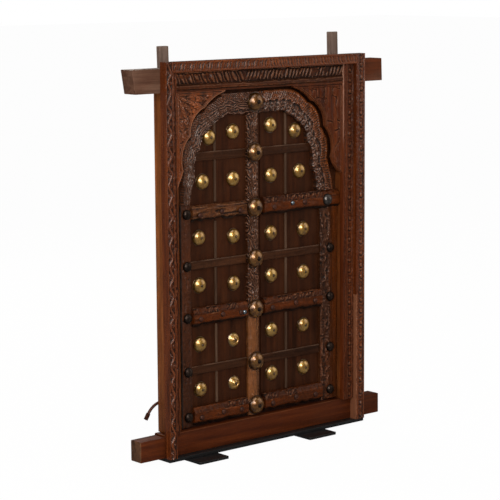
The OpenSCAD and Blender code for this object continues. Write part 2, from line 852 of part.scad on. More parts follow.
module right_bosses() {
    color(brass) for (p = right_boss_at) translate([p[0], board_y, p[1]]) boss(small_r, small_h);
}

module left_boss_nails() {
    color(iron) for (p = left_boss_at) translate([p[0], board_y, p[1]]) boss_nail(small_h);
}

module right_boss_nails() {
    color(iron) for (p = right_boss_at) translate([p[0], board_y, p[1]]) boss_nail(small_h);
}

// Domed iron nail heads on a stile
module studs(x, heights) {
    round_r = (stud_r * stud_r + stud_h * stud_h) / (2 * stud_h);
    color(iron) for (z = heights) translate([x, stile_y, z]) rotate([90, 0, 0])
        intersection() {
            translate([0, 0, stud_h - round_r]) sphere(r = round_r, $fn = 40);
            cylinder(r = stud_r + 1, h = stud_h + 1);
        }
}

module left_studs() {
    studs(left_stud_x, stud_z);
}

// The right leaf's top nail sits on the lapped end of its rail
module right_studs() {
    studs(right_stud_x, [for (i = [0:3]) stud_z[i]]);
    translate([0, -top_lap_t, 0]) studs(right_stud_x - lap_nail_in, [stud_z[4]]);
}

// The cover strip of the meeting line: rounded, with twisted leaf cuts above the worn part
module astragal() {
    y_front = board_y - astragal_proud;
    shoulder = 7;
    ease = 4;
    high = rim_top - rim_gap;
    count = floor((high - base_z - worn_h) / twist_pitch);
    color(carved) difference() {
        translate([0, 0, leaf_low]) linear_extrude(high - leaf_low) polygon([
            [astragal_left, board_y], [astragal_left, y_front + shoulder],
            [astragal_left + ease, y_front + ease / 2],
            [astragal_left + astragal_w * 0.3, y_front], [astragal_right - astragal_w * 0.3, y_front],
            [astragal_right - ease, y_front + ease / 2],
            [astragal_right, y_front + shoulder], [astragal_right, board_y]]);
        for (i = [0:count - 1])
            translate([large_x, y_front, base_z + worn_h + (i + 0.5) * twist_pitch])
                rotate([0, 50, 0])
                    translate([0, -carve_depth * 0.4, -astragal_w / 2])
                        cylinder(r = carve_depth * 1.1, h = astragal_w);
        for (i = [0:5])
            translate([large_x, y_front - 1, large_z[i]])
                rotate([-90, 0, 0]) cylinder(r = shank_r, h = shank_l + 1, $fn = 24);
    }
}

module astragal_bosses() {
    color(brass) for (i = [0:5])
        translate([large_x, board_y - astragal_proud, large_z[i]]) boss(large_r, large_h);
    color(brass) translate([large_x, board_y - rim_proud, large_z[6]]) boss(large_r, large_h);
}

module astragal_boss_nails() {
    color(iron) for (i = [0:5])
        translate([large_x, board_y - astragal_proud, large_z[i]]) boss_nail(large_h);
    color(iron) translate([large_x, board_y - rim_proud, large_z[6]]) boss_nail(large_h);
}

head_beam();
sill_beam();
left_post();
right_post();
facing_left();
facing_right();
facing_top();
inner_band_left();
inner_band_right();
inner_band_top();
spandrel_left();
spandrel_right();
back_batten_left();
back_batten_right();
stand_bar();
foot_left();
foot_right();
iron_hook();
left_boards();
left_stile();
left_rim();
left_rail_bottom();
left_rail_middle();
left_rail_top();
left_flat_battens();
left_fillets();
left_bosses();
left_boss_nails();
left_studs();
astragal();
astragal_bosses();
astragal_boss_nails();
right_boards();
right_stile();
right_rim();
right_rail_bottom();
right_rail_middle();
right_rail_top();
right_flat_battens();
right_fillets();
right_bosses();
right_boss_nails();
right_studs();
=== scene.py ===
import math

import bmesh
import bpy
import numpy as np
from mathutils import Matrix, Vector


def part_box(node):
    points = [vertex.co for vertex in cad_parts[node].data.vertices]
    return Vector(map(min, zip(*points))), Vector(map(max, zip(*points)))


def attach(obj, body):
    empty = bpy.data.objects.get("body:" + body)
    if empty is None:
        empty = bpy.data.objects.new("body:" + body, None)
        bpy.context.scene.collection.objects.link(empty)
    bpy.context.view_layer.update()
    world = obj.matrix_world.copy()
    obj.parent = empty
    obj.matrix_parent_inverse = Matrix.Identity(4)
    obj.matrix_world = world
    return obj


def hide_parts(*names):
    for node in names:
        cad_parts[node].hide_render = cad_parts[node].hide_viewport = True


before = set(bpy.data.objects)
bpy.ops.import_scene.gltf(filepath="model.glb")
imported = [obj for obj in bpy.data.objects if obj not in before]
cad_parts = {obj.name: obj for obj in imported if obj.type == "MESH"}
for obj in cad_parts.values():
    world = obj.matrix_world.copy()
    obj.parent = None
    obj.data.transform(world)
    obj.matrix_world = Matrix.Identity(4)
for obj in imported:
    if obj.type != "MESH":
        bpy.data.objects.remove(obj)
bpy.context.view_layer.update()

MM = 0.001
MERGE = 1e-5
LEVEL, UPRIGHT = 0, 2
CREASE = math.radians(38)


# Helpers for shapes; lengths are in millimetres until a mesh is written

def box_of(node):
    """Low and high corner of a CAD node."""
    low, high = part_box(node)
    return np.array(low) / MM, np.array(high) / MM


def waver(x, y, seed):
    """Smooth hand-made unevenness from -1 to 1, over cells of unit size."""
    table = np.random.default_rng(seed).uniform(-1, 1, (64, 64))
    i, j = np.floor(x).astype(int), np.floor(y).astype(int)
    u, v = x - i, y - j
    u, v = u * u * (3 - 2 * u), v * v * (3 - 2 * v)
    i, j, k, m = i % 64, j % 64, (i + 1) % 64, (j + 1) % 64
    low = table[i, j] * (1 - u) + table[k, j] * u
    high = table[i, m] * (1 - u) + table[k, m] * u
    return low * (1 - v) + high * v


def uneven(u, v, long, wide, seed):
    """Unevenness over cells of a length and a width."""
    return waver(u / long, v / wide, seed)


def wander(u, long, seed):
    """Unevenness along a line alone."""
    return waver(u / long, u * 0, seed)


def hollows(u, v, long, wide, seed):
    """Shallow hollows of a length and a width with ridges between them, from 0 on a ridge to 1."""
    return np.abs(uneven(u, v, long, wide, seed))


def rough(u, v, size, seed):
    """Two sizes of unevenness together."""
    return 0.65 * uneven(u, v, size, size, seed) + 0.35 * uneven(2.3 * u, 2.3 * v, size, size, seed + 1)


def blur(values, reach):
    """Mean over a small square window."""
    span = 2 * reach + 1
    for axis in (0, 1):
        pad = [(reach + 1, reach) if a == axis else (0, 0) for a in (0, 1)]
        total = np.cumsum(np.pad(values, pad, mode="edge"), axis=axis)
        ahead = np.take(total, range(span, total.shape[axis]), axis=axis)
        behind = np.take(total, range(0, total.shape[axis] - span), axis=axis)
        values = (ahead - behind) / span
    return values


def ridge(distance, width):
    """A round-topped ridge: 1 on its line, 0 from its width outwards."""
    return np.sqrt(np.clip(1 - (distance / width) ** 2, 0, 1))


def eased(value, low, high):
    """From 0 at the first limit to 1 at the second, with soft ends."""
    t = np.clip((value - low) / (high - low), 0, 1)
    return t * t * (3 - 2 * t)


def from_middle(x, pitch):
    """Distance from the middle of the repeat that a place falls in."""
    return x - (np.floor(x / pitch) + 0.5) * pitch


def worn_round(near, radius):
    """How far an edge worn round to a radius falls back, at a distance from the edge."""
    return radius - np.sqrt(np.clip(radius ** 2 - np.clip(radius - near, 0, None) ** 2, 0, None))


def worn_and_soiled(depth, reach=3, scale=0.7):
    """How far each point of a carving stands out of its surroundings, to be painted pale as wear and
    highlight, and how far it lies under them, to be painted dark as dirt and shade.
    """
    lift = blur(depth, reach) - depth
    return np.clip(lift / scale, 0, 1), np.clip(-lift / scale, 0, 1)


def evenly(line, count):
    """A line of points set out again at even steps, and how far along it each one is."""
    run = np.concatenate([[0], np.cumsum(np.hypot(*np.diff(line, axis=0).T))])
    at = np.linspace(0, run[-1], count)
    return np.stack([np.interp(at, run, line[:, k]) for k in (0, 1)], 1), at


def sheet(length, width, count):
    """Places over a length and a width."""
    along, across = np.linspace(0, length, count[0] + 1), np.linspace(0, width, count[1] + 1)
    return np.meshgrid(along, across, indexing="ij")


def laid(low, along, u, v, y):
    """Points of a sheet that has its length along X or Z, and its width along the other."""
    points = np.empty(u.shape + (3,))
    points[..., along] = low[along] + u
    points[..., 2 - along] = low[2 - along] + v
    points[..., 1] = y
    return points


def paint(mesh, **layers):
    """Writes how worn, soiled or bare each point of a piece is; the wear mark also paints highlights, the
    soil mark also paints shade.
    """
    for name, values in layers.items():
        if values is not None:
            layer = mesh.attributes.new(name, "FLOAT", "POINT")
            layer.data.foreach_set("value", values.astype(np.float32))


def solid(name, front, back, wear, soil, bare=None):
    """A closed piece with a shaped front sheet, side walls, and a flat back."""
    rows, columns = front.shape[0] - 1, front.shape[1] - 1
    bm = bmesh.new()
    bmesh.ops.create_grid(bm, x_segments=rows, y_segments=columns, size=0.5)
    bmesh.ops.extrude_edge_only(bm, edges=[e for e in bm.edges if e.is_boundary])
    bmesh.ops.edgeloop_fill(bm, edges=[e for e in bm.edges if e.is_boundary])
    bm.verts.index_update()
    flat = np.array([v.co[:2] for v in bm.verts]) + 0.5
    i = np.rint(flat[:, 0] * rows).astype(int)
    j = np.rint(flat[:, 1] * columns).astype(int)
    place = front[i, j]
    place[(rows + 1) * (columns + 1):, 1] = back
    for vert, point in zip(bm.verts, place * MM):
        vert.co = point
    bmesh.ops.recalc_face_normals(bm, faces=bm.faces[:])
    mesh = bpy.data.meshes.new(name)
    bm.to_mesh(mesh)
    bm.free()
    paint(mesh, wear=wear[i, j], soil=soil[i, j], bare=None if bare is None else bare[i, j])
    return bpy.data.objects.new(name, mesh)


def fit_out(obj, material, body, node=None):
    """Puts a finished piece into the scene on its body, in place of the CAD node that it stands for."""
    bpy.context.scene.collection.objects.link(obj)
    obj.data.materials.append(material)
    obj.data.shade_smooth()
    obj.data.set_sharp_from_angle(angle=CREASE)
    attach(obj, body)
    if node:
        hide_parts(node)


def swayed(bm, sway, cell, seed):
    """Makes the faces of an old timber slightly uneven, inside its own box."""
    for axis in range(3):
        span = [v.co[axis] for v in bm.verts]
        low, high = min(span), max(span)
        cuts = int((high - low) / (cell * MM))
        for k in range(1, cuts):
            at, way = Vector(), Vector()
            at[axis] = low + (high - low) * k / cuts
            way[axis] = 1
            bmesh.ops.bisect_plane(bm, geom=bm.verts[:] + bm.edges[:] + bm.faces[:], plane_co=at,
                                   plane_no=way, dist=1e-6)
    points = np.array([v.co[:] for v in bm.verts]) / MM
    x, y, z = points.T
    drift = np.stack([waver(z / 90 + 7, y / 60 + x / 80, seed),
                      waver(x / 90, z / 70 + 3, seed + 1),
                      waver(x / 70 + 5, y / 60, seed + 2)], 1)
    points = np.clip(points + sway * drift, points.min(0), points.max(0))
    for vert, point in zip(bm.verts, points * MM):
        vert.co = point


def softened(node, material, edge, sway=0.0, cell=40, seed=1, bare=None):
    """A plain timber or bar of the frame: its CAD form with worn edges, and uneven faces on old wood."""
    bm = bmesh.new()
    bm.from_mesh(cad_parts[node].data)
    bmesh.ops.remove_doubles(bm, verts=bm.verts[:], dist=MERGE)
    bmesh.ops.dissolve_limit(bm, angle_limit=math.radians(2), verts=bm.verts[:], edges=bm.edges[:])
    sharp = [e for e in bm.edges if len(e.link_faces) == 2 and e.calc_face_angle() > math.radians(25)
             and e.calc_length() > 5 * edge * MM]
    bmesh.ops.bevel(bm, geom=sharp, offset=edge * MM, offset_type="OFFSET", segments=3, profile=0.5,
                    affect="EDGES", material=-1, clamp_overlap=True)
    if sway:
        swayed(bm, sway, cell, seed)
    bmesh.ops.recalc_face_normals(bm, faces=bm.faces[:])
    points = np.array([v.co[:] for v in bm.verts]) / MM
    mesh = bpy.data.meshes.new(node + "_worn")
    bm.to_mesh(mesh)
    bm.free()
    near = np.sort(np.minimum(points - points.min(0), points.max(0) - points), 1)[:, 1]
    x, y, z = points.T
    # The edges are painted pale, as wear and as a painted highlight.
    rubbed_and_highlit = (near < 0.75 * edge) * (0.55 + 0.45 * waver(x / 37 + z / 41, y / 30, seed + 5))
    paint(mesh, wear=rubbed_and_highlit, bare=None if bare is None else bare(points))
    fit_out(bpy.data.objects.new(node + "_worn", mesh), material, "frame", node)


def turned(profile, steps):
    """A round piece from its half section: (radius, height towards the front) points from back to front."""
    bm = bmesh.new()
    line = [bm.verts.new((r * MM, -h * MM, 0)) for r, h in profile]
    edges = [bm.edges.new(pair) for pair in zip(line, line[1:])]
    bmesh.ops.spin(bm, geom=line + edges, cent=(0, 0, 0), axis=(0, 1, 0), dvec=(0, 0, 0),
                   angle=2 * math.pi, steps=steps, use_merge=True, use_duplicate=False)
    bmesh.ops.remove_doubles(bm, verts=bm.verts[:], dist=2e-6)
    bmesh.ops.recalc_face_normals(bm, faces=bm.faces[:])
    return bm


def set_out(name, pieces):
    """One object from round pieces: profile, steps, centre and, where they lean, degrees about X and Z."""
    bm = bmesh.new()
    reach = []
    for profile, steps, centre, *leaning in pieces:
        about_x, about_z = leaning[0] if leaning else (0, 0)
        one = turned(profile, steps)
        radius = max(r for r, h in profile)
        turn = Matrix.Rotation(math.radians(about_x), 4, "X") @ Matrix.Rotation(math.radians(about_z), 4, "Z")
        reach += [math.hypot(v.co.x, v.co.z) / (radius * MM) for v in one.verts]
        bmesh.ops.transform(one, matrix=Matrix.Translation(Vector(centre) * MM) @ turn, verts=one.verts[:])
        part = bpy.data.meshes.new(name)
        one.to_mesh(part)
        one.free()
        bm.from_mesh(part)
        bpy.data.meshes.remove(part)
    mesh = bpy.data.meshes.new(name)
    bm.to_mesh(mesh)
    bm.free()
    # The outer part of each round piece is painted dark, as dirt and as shade at its foot.
    paint(mesh, soil=np.clip((np.array(reach) - 0.72) / 0.28, 0, 1))
    return bpy.data.objects.new(name, mesh)


def solids_of(node):
    """Low and high corner of each separate solid of a CAD node, from the lowest up."""
    bm = bmesh.new()
    bm.from_mesh(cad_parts[node].data)
    bmesh.ops.remove_doubles(bm, verts=bm.verts[:], dist=MERGE)
    left, boxes = set(bm.verts), []
    while left:
        group, edge = set(), [left.pop()]
        while edge:
            vert = edge.pop()
            group.add(vert)
            for link in vert.link_edges:
                other = link.other_vert(vert)
                if other in left:
                    left.discard(other)
                    edge.append(other)
        points = np.array([v.co[:] for v in group]) / MM
        boxes.append((points.min(0), points.max(0)))
    bm.free()
    return sorted(boxes, key=lambda box: (round(box[0][2], 1), round(box[0][0], 1)))


def places_in(node):
    """Centre of each round piece of a CAD node, with its back, height and radius."""
    places = []
    for low, high in solids_of(node):
        middle, size = (low + high) / 2, high - low
        places.append((middle[0], high[1], middle[2], size[1], size[0] / 2))
    return places


# Finishes

def tint(colour, share=1.0):
    """A colour as it looks on a screen, from 0 to 255, or a share of it, as the shader's own numbers."""
    return tuple(((c / 255 + 0.055) / 1.055) ** 2.4 if c > 10 else c / 255 / 12.92
                 for c in (share * value for value in colour)) + (1.0,)


# The dark of dirt and of painted shade in hollows; it also fills the pores.
SOIL_AND_SHADE = tint((13, 6, 3))


def feed(tree, socket, value):
    """Sets a socket to a constant, or links another node's output to it."""
    if isinstance(value, (int, float, tuple)):
        socket.default_value = value
    else:
        tree.links.new(value, socket)


def node_of(tree, kind, **values):
    """A new shader node with values for its sockets."""
    node = tree.nodes.new(kind)
    for name, value in values.items():
        feed(tree, node.inputs[name.replace("_", " ")], value)
    return node


def sum_of(tree, operation, *values):
    """A sum on shader values."""
    node = tree.nodes.new("ShaderNodeMath")
    node.operation = operation
    for socket, value in zip(node.inputs, values):
        feed(tree, socket, value)
    return node.outputs["Value"]


class Finish:
    """A material under construction."""

    def __init__(self, name):
        self.material = bpy.data.materials.new(name)
        self.material.use_nodes = True
        self.tree = self.material.node_tree
        self.surface = self.tree.nodes["Principled BSDF"]
        self.coords = self.tree.nodes.new("ShaderNodeTexCoord").outputs["Object"]

    def noise(self, stretch, detail=4.0, roughness=0.55, distortion=0.0):
        """Noise with its own scale along X, Y and Z, in cells per metre."""
        mapping = node_of(self.tree, "ShaderNodeMapping", Scale=tuple(stretch), Vector=self.coords)
        noise = node_of(self.tree, "ShaderNodeTexNoise", Vector=mapping.outputs["Vector"], Scale=1.0,
                        Detail=detail, Roughness=roughness, Distortion=distortion)
        return noise.outputs["Fac"]

    def ramp(self, source, *stops):
        """Colours at their places on a scale from 0 to 1."""
        ramp = node_of(self.tree, "ShaderNodeValToRGB", Fac=source)
        elements = ramp.color_ramp.elements
        while len(elements) < len(stops):
            elements.new(0.5)
        for element, (position, colour) in zip(elements, stops):
            element.position = position
            element.color = colour
        return ramp.outputs["Color"]

    def span(self, source, low, high, to_low=0.0, to_high=1.0):
        """A value moved from one range to another."""
        reach = node_of(self.tree, "ShaderNodeMapRange", Value=source, From_Min=low, From_Max=high,
                        To_Min=to_low, To_Max=to_high)
        return reach.outputs["Result"]

    def mix(self, amount, under, over):
        """One colour over another."""
        mix = self.tree.nodes.new("ShaderNodeMix")
        mix.data_type = "RGBA"
        first, second = [socket for socket in mix.inputs if socket.type == "RGBA"]
        for socket, value in ((mix.inputs["Factor"], amount), (first, under), (second, over)):
            feed(self.tree, socket, value)
        return [socket for socket in mix.outputs if socket.type == "RGBA"][0]

    def attribute(self, name):
        """What a piece says of its own points, such as their wear."""
        node = self.tree.nodes.new("ShaderNodeAttribute")
        node.attribute_name = name
        return node.outputs["Fac"]

    def bump(self, height, strength, distance, **under):
        """Fine relief, over other relief where it has some."""
        bump = node_of(self.tree, "ShaderNodeBump", Strength=strength, Distance=distance, Height=height,
                       **under)
        return bump.outputs["Normal"]

    def done(self, **values):
        """Sets the surface's own sockets."""
        for name, value in values.items():
            feed(self.tree, self.surface.inputs[name.replace("_", " ")], value)
        return self.material


def teak(name, dark, body, light, pale, grain=UPRIGHT, gloss=0.28, shine=0.32, patch=0.4,
         patch_tone=(74, 36, 17), patch_scale=9, bare=(112, 58, 26)):
    """Old waxed teak: its grain along one axis, pale worn ridges that also stand for painted highlights, dirt
    in its hollows that also stands for painted shade, and bare wood where a piece has it."""
    dark, body, light, pale = [tint(colour) for colour in (dark, body, light, pale)]
    wood = Finish(name)

    def stretched(across, lengthwise):
        return [lengthwise if axis == grain else across for axis in range(3)]

    figure = wood.noise(stretched(70, 4), detail=5, distortion=0.6)
    fibre = wood.noise(stretched(650, 14), detail=4, roughness=0.65)
    patches = wood.noise([patch_scale] * 3, detail=4, roughness=0.6)
    pores = wood.noise(stretched(1500, 60), detail=2)
    colour = wood.ramp(figure, (0.30, dark), (0.50, body), (0.72, light))
    colour = wood.mix(wood.span(patches, 0.42, 0.70, 0.0, patch), colour, tint(patch_tone))
    colour = wood.mix(wood.span(fibre, 0.30, 0.62, 0.5, 0.0), colour, dark)
    barer = wood.ramp(figure, (0.30, tint(bare, 0.66)), (0.50, tint(bare)), (0.74, tint(bare, 1.22)))
    barer = wood.mix(wood.span(fibre, 0.30, 0.62, 0.4, 0.0), barer, tint(bare, 0.55))
    barer = wood.mix(wood.span(patches, 0.42, 0.70, 0.0, 0.8 * patch), barer, tint(bare, 0.6))
    colour = wood.mix(wood.span(wood.attribute("bare"), 0.05, 0.95, 0.0, 0.94), colour, barer)
    colour = wood.mix(wood.span(pores, 0.58, 0.72, 0.0, 0.45), colour, SOIL_AND_SHADE)
    wear, dirt_and_shade = wood.attribute("wear"), wood.attribute("soil")
    worn_and_highlit = sum_of(wood.tree, "MULTIPLY", wear, wood.span(fibre, 0.25, 0.7, 0.45, 1.0))
    # Worn ridges are painted pale: wear, and also a painted highlight on the ridges.
    colour = wood.mix(wood.span(worn_and_highlit, 0.2, 1.0, 0.0, 0.42), colour, pale)
    # Soil is painted dark: dirt, and also painted shade in the hollows.
    colour = wood.mix(wood.span(dirt_and_shade, 0.05, 0.9, 0.0, 0.9), colour, SOIL_AND_SHADE)
    sheen = wood.span(wood.noise([40] * 3, detail=5), 0.3, 0.7, gloss - 0.07, gloss + 0.10)
    sheen = sum_of(wood.tree, "MULTIPLY", sheen, wood.span(wear, 0.0, 1.0, 1.0, 0.68))
    sheen = sum_of(wood.tree, "ADD", sheen, wood.span(dirt_and_shade, 0.1, 0.9, 0.0, 0.4))
    relief = wood.bump(fibre, 0.225, 0.0012)
    relief = wood.bump(wood.noise([120] * 3, detail=4), 0.175, 0.0016, Normal=relief)
    return wood.done(Base_Color=colour, Roughness=sheen, Normal=relief, Specular_IOR_Level=shine)


def metal(name, dark, body, light, soil, gloss, spots, metallic=1.0, dent=0.4, lacquer=0.0):
    """Cast or wrought metal with tarnish, an edge painted dark as dirt and as shade at its foot, small dents,
    and old lacquer where it has some.
    """
    dark, body, light, soil = [tint(colour) for colour in (dark, body, light, soil)]
    stuff = Finish(name)
    blotch = stuff.noise([spots] * 3, detail=5, roughness=0.65)
    fine = stuff.noise([420] * 3, detail=3)
    colour = stuff.ramp(blotch, (0.32, dark), (0.50, body), (0.70, light))
    colour = stuff.mix(stuff.span(fine, 0.35, 0.65, 0.35, 0.0), colour, dark)
    colour = stuff.mix(stuff.span(stuff.attribute("soil"), 0.0, 1.0, 0.0, 0.85), colour, soil)
    sheen = stuff.span(blotch, 0.3, 0.7, gloss + 0.09, gloss - 0.05)
    relief = stuff.bump(stuff.noise([90] * 3, detail=3), dent, 0.0012)
    return stuff.done(Base_Color=colour, Roughness=sheen, Normal=relief, Metallic=metallic,
                      Coat_Weight=lacquer, Coat_Roughness=0.2, Coat_IOR=2.0)


# Woods of the frame

# The fourth colour of each teak below is the pale of its worn ridges, which also paints their highlights.
teak_upright = teak("teak_upright", (80, 39, 15), (126, 71, 33), (156, 92, 46), (164, 116, 82),
                    gloss=0.42, shine=0.16)
teak_level = teak("teak_level", (50, 19, 6), (74, 31, 10), (96, 44, 15), (158, 112, 76), LEVEL,
                  gloss=0.5, shine=0.1, bare=(86, 60, 43))
teak_weathered = teak("teak_weathered", (60, 37, 27), (86, 57, 45), (108, 78, 63), (136, 110, 94), LEVEL,
                      gloss=0.5, shine=0.1, patch=0.5, patch_tone=(78, 58, 44), bare=(88, 40, 15))
teak_grey = teak("teak_grey", (80, 64, 57), (122, 103, 95), (156, 138, 129), (170, 155, 145),
                 gloss=0.55, shine=0.15, patch_tone=(96, 78, 66))
carved_upright = teak("carved_upright", (54, 22, 8), (88, 40, 15), (118, 59, 24), (156, 108, 82),
                      gloss=0.24, bare=(112, 55, 22))
# Its bare colour is only the pale of the painted highlight on the right band's inner edge.
carved_smooth = teak("carved_smooth", (46, 17, 5), (76, 32, 10), (104, 48, 17), (156, 104, 72),
                     gloss=0.32, shine=0.14, bare=(144, 112, 98))
carved_level = teak("carved_level", (58, 25, 9), (94, 45, 18), (122, 63, 27), (160, 114, 88), LEVEL,
                    gloss=0.24)

# Woods of the leaves

carved_dark = teak("carved_dark", (40, 19, 9), (66, 36, 20), (92, 56, 36), (170, 132, 114),
                   gloss=0.22, shine=0.4, bare=(106, 54, 20))
stile_teak = teak("stile_teak", (40, 20, 9), (64, 34, 18), (90, 53, 31), (156, 118, 100),
                  gloss=0.27, shine=0.24, patch_tone=(46, 22, 9), patch_scale=24, bare=(78, 37, 13))
bar_teak = teak("bar_teak", (44, 22, 10), (70, 38, 20), (96, 57, 34), (166, 124, 102),
                gloss=0.25, shine=0.34, bare=(116, 70, 37))
rail_teak = teak("rail_teak", (40, 16, 4), (69, 30, 8), (100, 49, 16), (176, 128, 98), LEVEL,
                 gloss=0.3, shine=0.16, patch=0.75, patch_tone=(46, 20, 7), patch_scale=28, bare=(84, 37, 9))
log_teak = teak("log_teak", (42, 20, 8), (80, 42, 19), (114, 67, 34), (156, 114, 82), LEVEL,
                gloss=0.32, shine=0.22, patch=0.6, patch_tone=(44, 22, 10), patch_scale=26)
board_teak = teak("board_teak", (33, 14, 5), (51, 24, 10), (66, 33, 15), (110, 80, 60),
                  gloss=0.45, shine=0.08, patch=0.35, patch_tone=(66, 40, 24), patch_scale=17)
batten_teak = teak("batten_teak", (34, 17, 8), (53, 28, 14), (74, 43, 25), (128, 100, 82), LEVEL,
                   gloss=0.42, shine=0.1, patch_tone=(48, 32, 22))
fillet_teak = teak("fillet_teak", (50, 32, 20), (80, 58, 44), (106, 82, 66), (130, 108, 94),
                   gloss=0.45, shine=0.2, patch_tone=(60, 44, 34))

# Metals

brass = metal("brass", (138, 92, 26), (212, 159, 56), (242, 200, 106), (40, 25, 9),
              gloss=0.31, spots=60, metallic=0.84, dent=0.03, lacquer=1.0)
antique_brass = metal("antique_brass", (72, 41, 10), (142, 90, 27), (194, 140, 60), (40, 22, 8),
                      gloss=0.3, spots=110, metallic=0.82, dent=0.1, lacquer=0.6)
iron = metal("iron", (30, 21, 17), (50, 38, 32), (76, 62, 54), (18, 12, 10),
             gloss=0.34, spots=120, metallic=0.8, dent=0.5)
nail_brass = metal("nail_brass", (58, 42, 24), (88, 66, 40), (130, 104, 70), (14, 9, 5),
                   gloss=0.3, spots=200, metallic=0.5, dent=0.1)
grey_steel = metal("grey_steel", (50, 44, 42), (84, 78, 76), (126, 122, 120), (20, 15, 13),
                   gloss=0.3, spots=120, metallic=0.8, dent=0.3)
rusty_iron = metal("rusty_iron", (44, 22, 14), (78, 40, 26), (104, 60, 42), (30, 16, 10),
                   gloss=0.5, spots=160, metallic=0.5, dent=0.6)
bright_steel = metal("bright_steel", (96, 108, 118), (148, 164, 178), (196, 206, 214), (50, 50, 54),
                     gloss=0.25, spots=200, dent=0.1)
black_steel = metal("black_steel", (16, 16, 17), (23, 23, 25), (32, 32, 34), (12, 12, 13),
                    gloss=0.38, spots=80, metallic=0.2, dent=0.1)

# The arch's own sizes, as in the part's source: its centre line, half width, foot and height, then its cusps
# as shares of both, the rise of the lobes between them, and the share that the rim leaves open

LEAF_LEFT, LEAF_RIGHT = box_of("left_stile")[0][0], box_of("right_stile")[1][0]
ARCH_X, ARCH_A = -21.0, 247.0
SPRING, RIM_HIGH = box_of("left_rim")[0][2], 847.0
ARCH_B = RIM_HIGH - SPRING
CUSPS = [(1, 0), (0.915, 0.317), (0.83, 0.619), (0.66, 0.865), (0.425, 0.996)]
LOBE_RISE = [0.036, 0.152, 0.173, 0.075]
RIM_OPEN = 0.80


def lobed_line(steps=40):
    """Up one side of the cusped arch, from its foot to its last cusp, about the arch's own centre."""
    at = [np.array([x * ARCH_A, z * ARCH_B]) for x, z in CUSPS]
    line = []
    for start, end, rise in zip(at, at[1:], LOBE_RISE):
        along = end - start
        chord = np.hypot(*along)
        outwards = np.array([along[1], -along[0]]) / chord
        high = chord * rise
        radius = (chord * chord / 4 + high * high) / (2 * high)
        t = np.linspace(0, 1, steps, endpoint=False)
        bow = np.sqrt(radius ** 2 - ((t - 0.5) * chord) ** 2) - (radius - high)
        line.append(start + t[:, None] * along + bow[:, None] * outwards)
    return np.concatenate(line + [at[-1:]])


# Carvings: each gives the depth under the front of the wood, over the length u and the width v

def by_hand(u, v, seed, sway, cell=14):
    """The same place a little astray, as a hand with a gouge sets it out."""
    astray = sway * waver(u / cell, v / cell, seed)
    return u + astray, v + 0.6 * sway * waver(u / cell + 9, v / cell, seed + 1)


def crescents(u, v, width, pitch, deep):
    """A row of beads, each held in a C-shaped cut, with a slanted leaf cut between two of them, on a
    rounded ground."""
    x, y = from_middle(u, pitch), v - width / 2
    flip = np.where(np.floor(u / pitch) % 2 == 0, 1.0, -1.0)
    far = np.hypot(0.8 * x + 0.06 * pitch, y)
    way = np.arctan2(y * flip, x)
    ring = ridge(far - 0.36 * width, 0.13 * width) * eased(np.cos(way - 2.5), -0.7, 0.3)
    leaf = ridge(x - 0.40 * pitch - 0.5 * flip * y, 0.09 * pitch)
    leaf = leaf * eased(np.abs(y), 0.55 * width, 0.2 * width)
    bead = ridge(far, 0.26 * width)
    edge = eased(np.abs(y), 0.40 * width, 0.52 * width)
    ground = (0.45 * (1 - bead) + 0.35 * (2 * y / width) ** 2) * (1 - edge)
    hand = 0.75 + 0.35 * uneven(u, v, 13, 7, 77)
    return np.clip(deep * hand * np.maximum(np.maximum(ring, 0.8 * leaf), ground), 0, deep)


def scroll(u, v, width, pitch, deep):
    """A winding stem with a curled leaf in each bend, left standing in a cut ground."""
    x, y = from_middle(u, pitch / 2), v - width / 2
    stem = ridge(y - 0.26 * width * np.sin(2 * np.pi * u / pitch), 0.23 * width)
    bend = np.where(np.floor(2 * u / pitch) % 2 == 0, 0.16, -0.16) * width
    far = np.hypot(0.85 * x, y + bend)
    leaf = ridge(far, 0.30 * width) * (1 - 0.6 * ridge(far - 0.15 * width, 0.07 * width))
    edge = eased(np.abs(y), 0.42 * width, 0.5 * width)
    return deep * (1 - np.maximum(np.maximum(stem, leaf), edge))


def swirls(u, v, size, seed, along=0.5, wind=1.7):
    """Winding ridges of old leaf carving, from 0 in the cuts to 1 on the ridges."""
    bend = wind * uneven(u, v, 2.6 * size, 2.6 * size, seed)
    bend = bend + 0.5 * wind * uneven(u, v, 1.1 * size, 1.1 * size, seed + 50)
    return 0.5 + 0.5 * np.cos(2 * np.pi * (bend + (along * u + v) / size))


def leaning_leaves(u, v, width, pitch, lean, deep):
    """A row of slanted leaves with a cut along the middle of each."""
    y = v - width / 2
    x = from_middle(u - lean * y, pitch)
    body = ridge(x, 0.52 * pitch * ridge(y, 0.52 * width) + 1e-3)
    vein = ridge(x - 0.1 * pitch, 0.10 * pitch)
    return deep * (1 - body * (1 - 0.6 * vein))


# Carved strips of the frame

STRIP_LIMIT = 6.0
SCROLL_PITCH, SCROLL_DEEP = 46.0, 3.8
FACING_PITCH, FACING_DEEP = 29.0, 4.6
BAND_PITCH, BAND_DEEP = 26.0, 3.4
TOP_LEAF_PITCH, TOP_LEAF_DEEP = 27.0, 2.6
DROP_FOOT, DROP_MIDDLE, DROP_TOP, DROP_DEEP = 17.0, 30.0, 43.0, 4.4
LOST_BEAD_HIGH, LOST_BEAD_WIDE = 322.0, 2.4


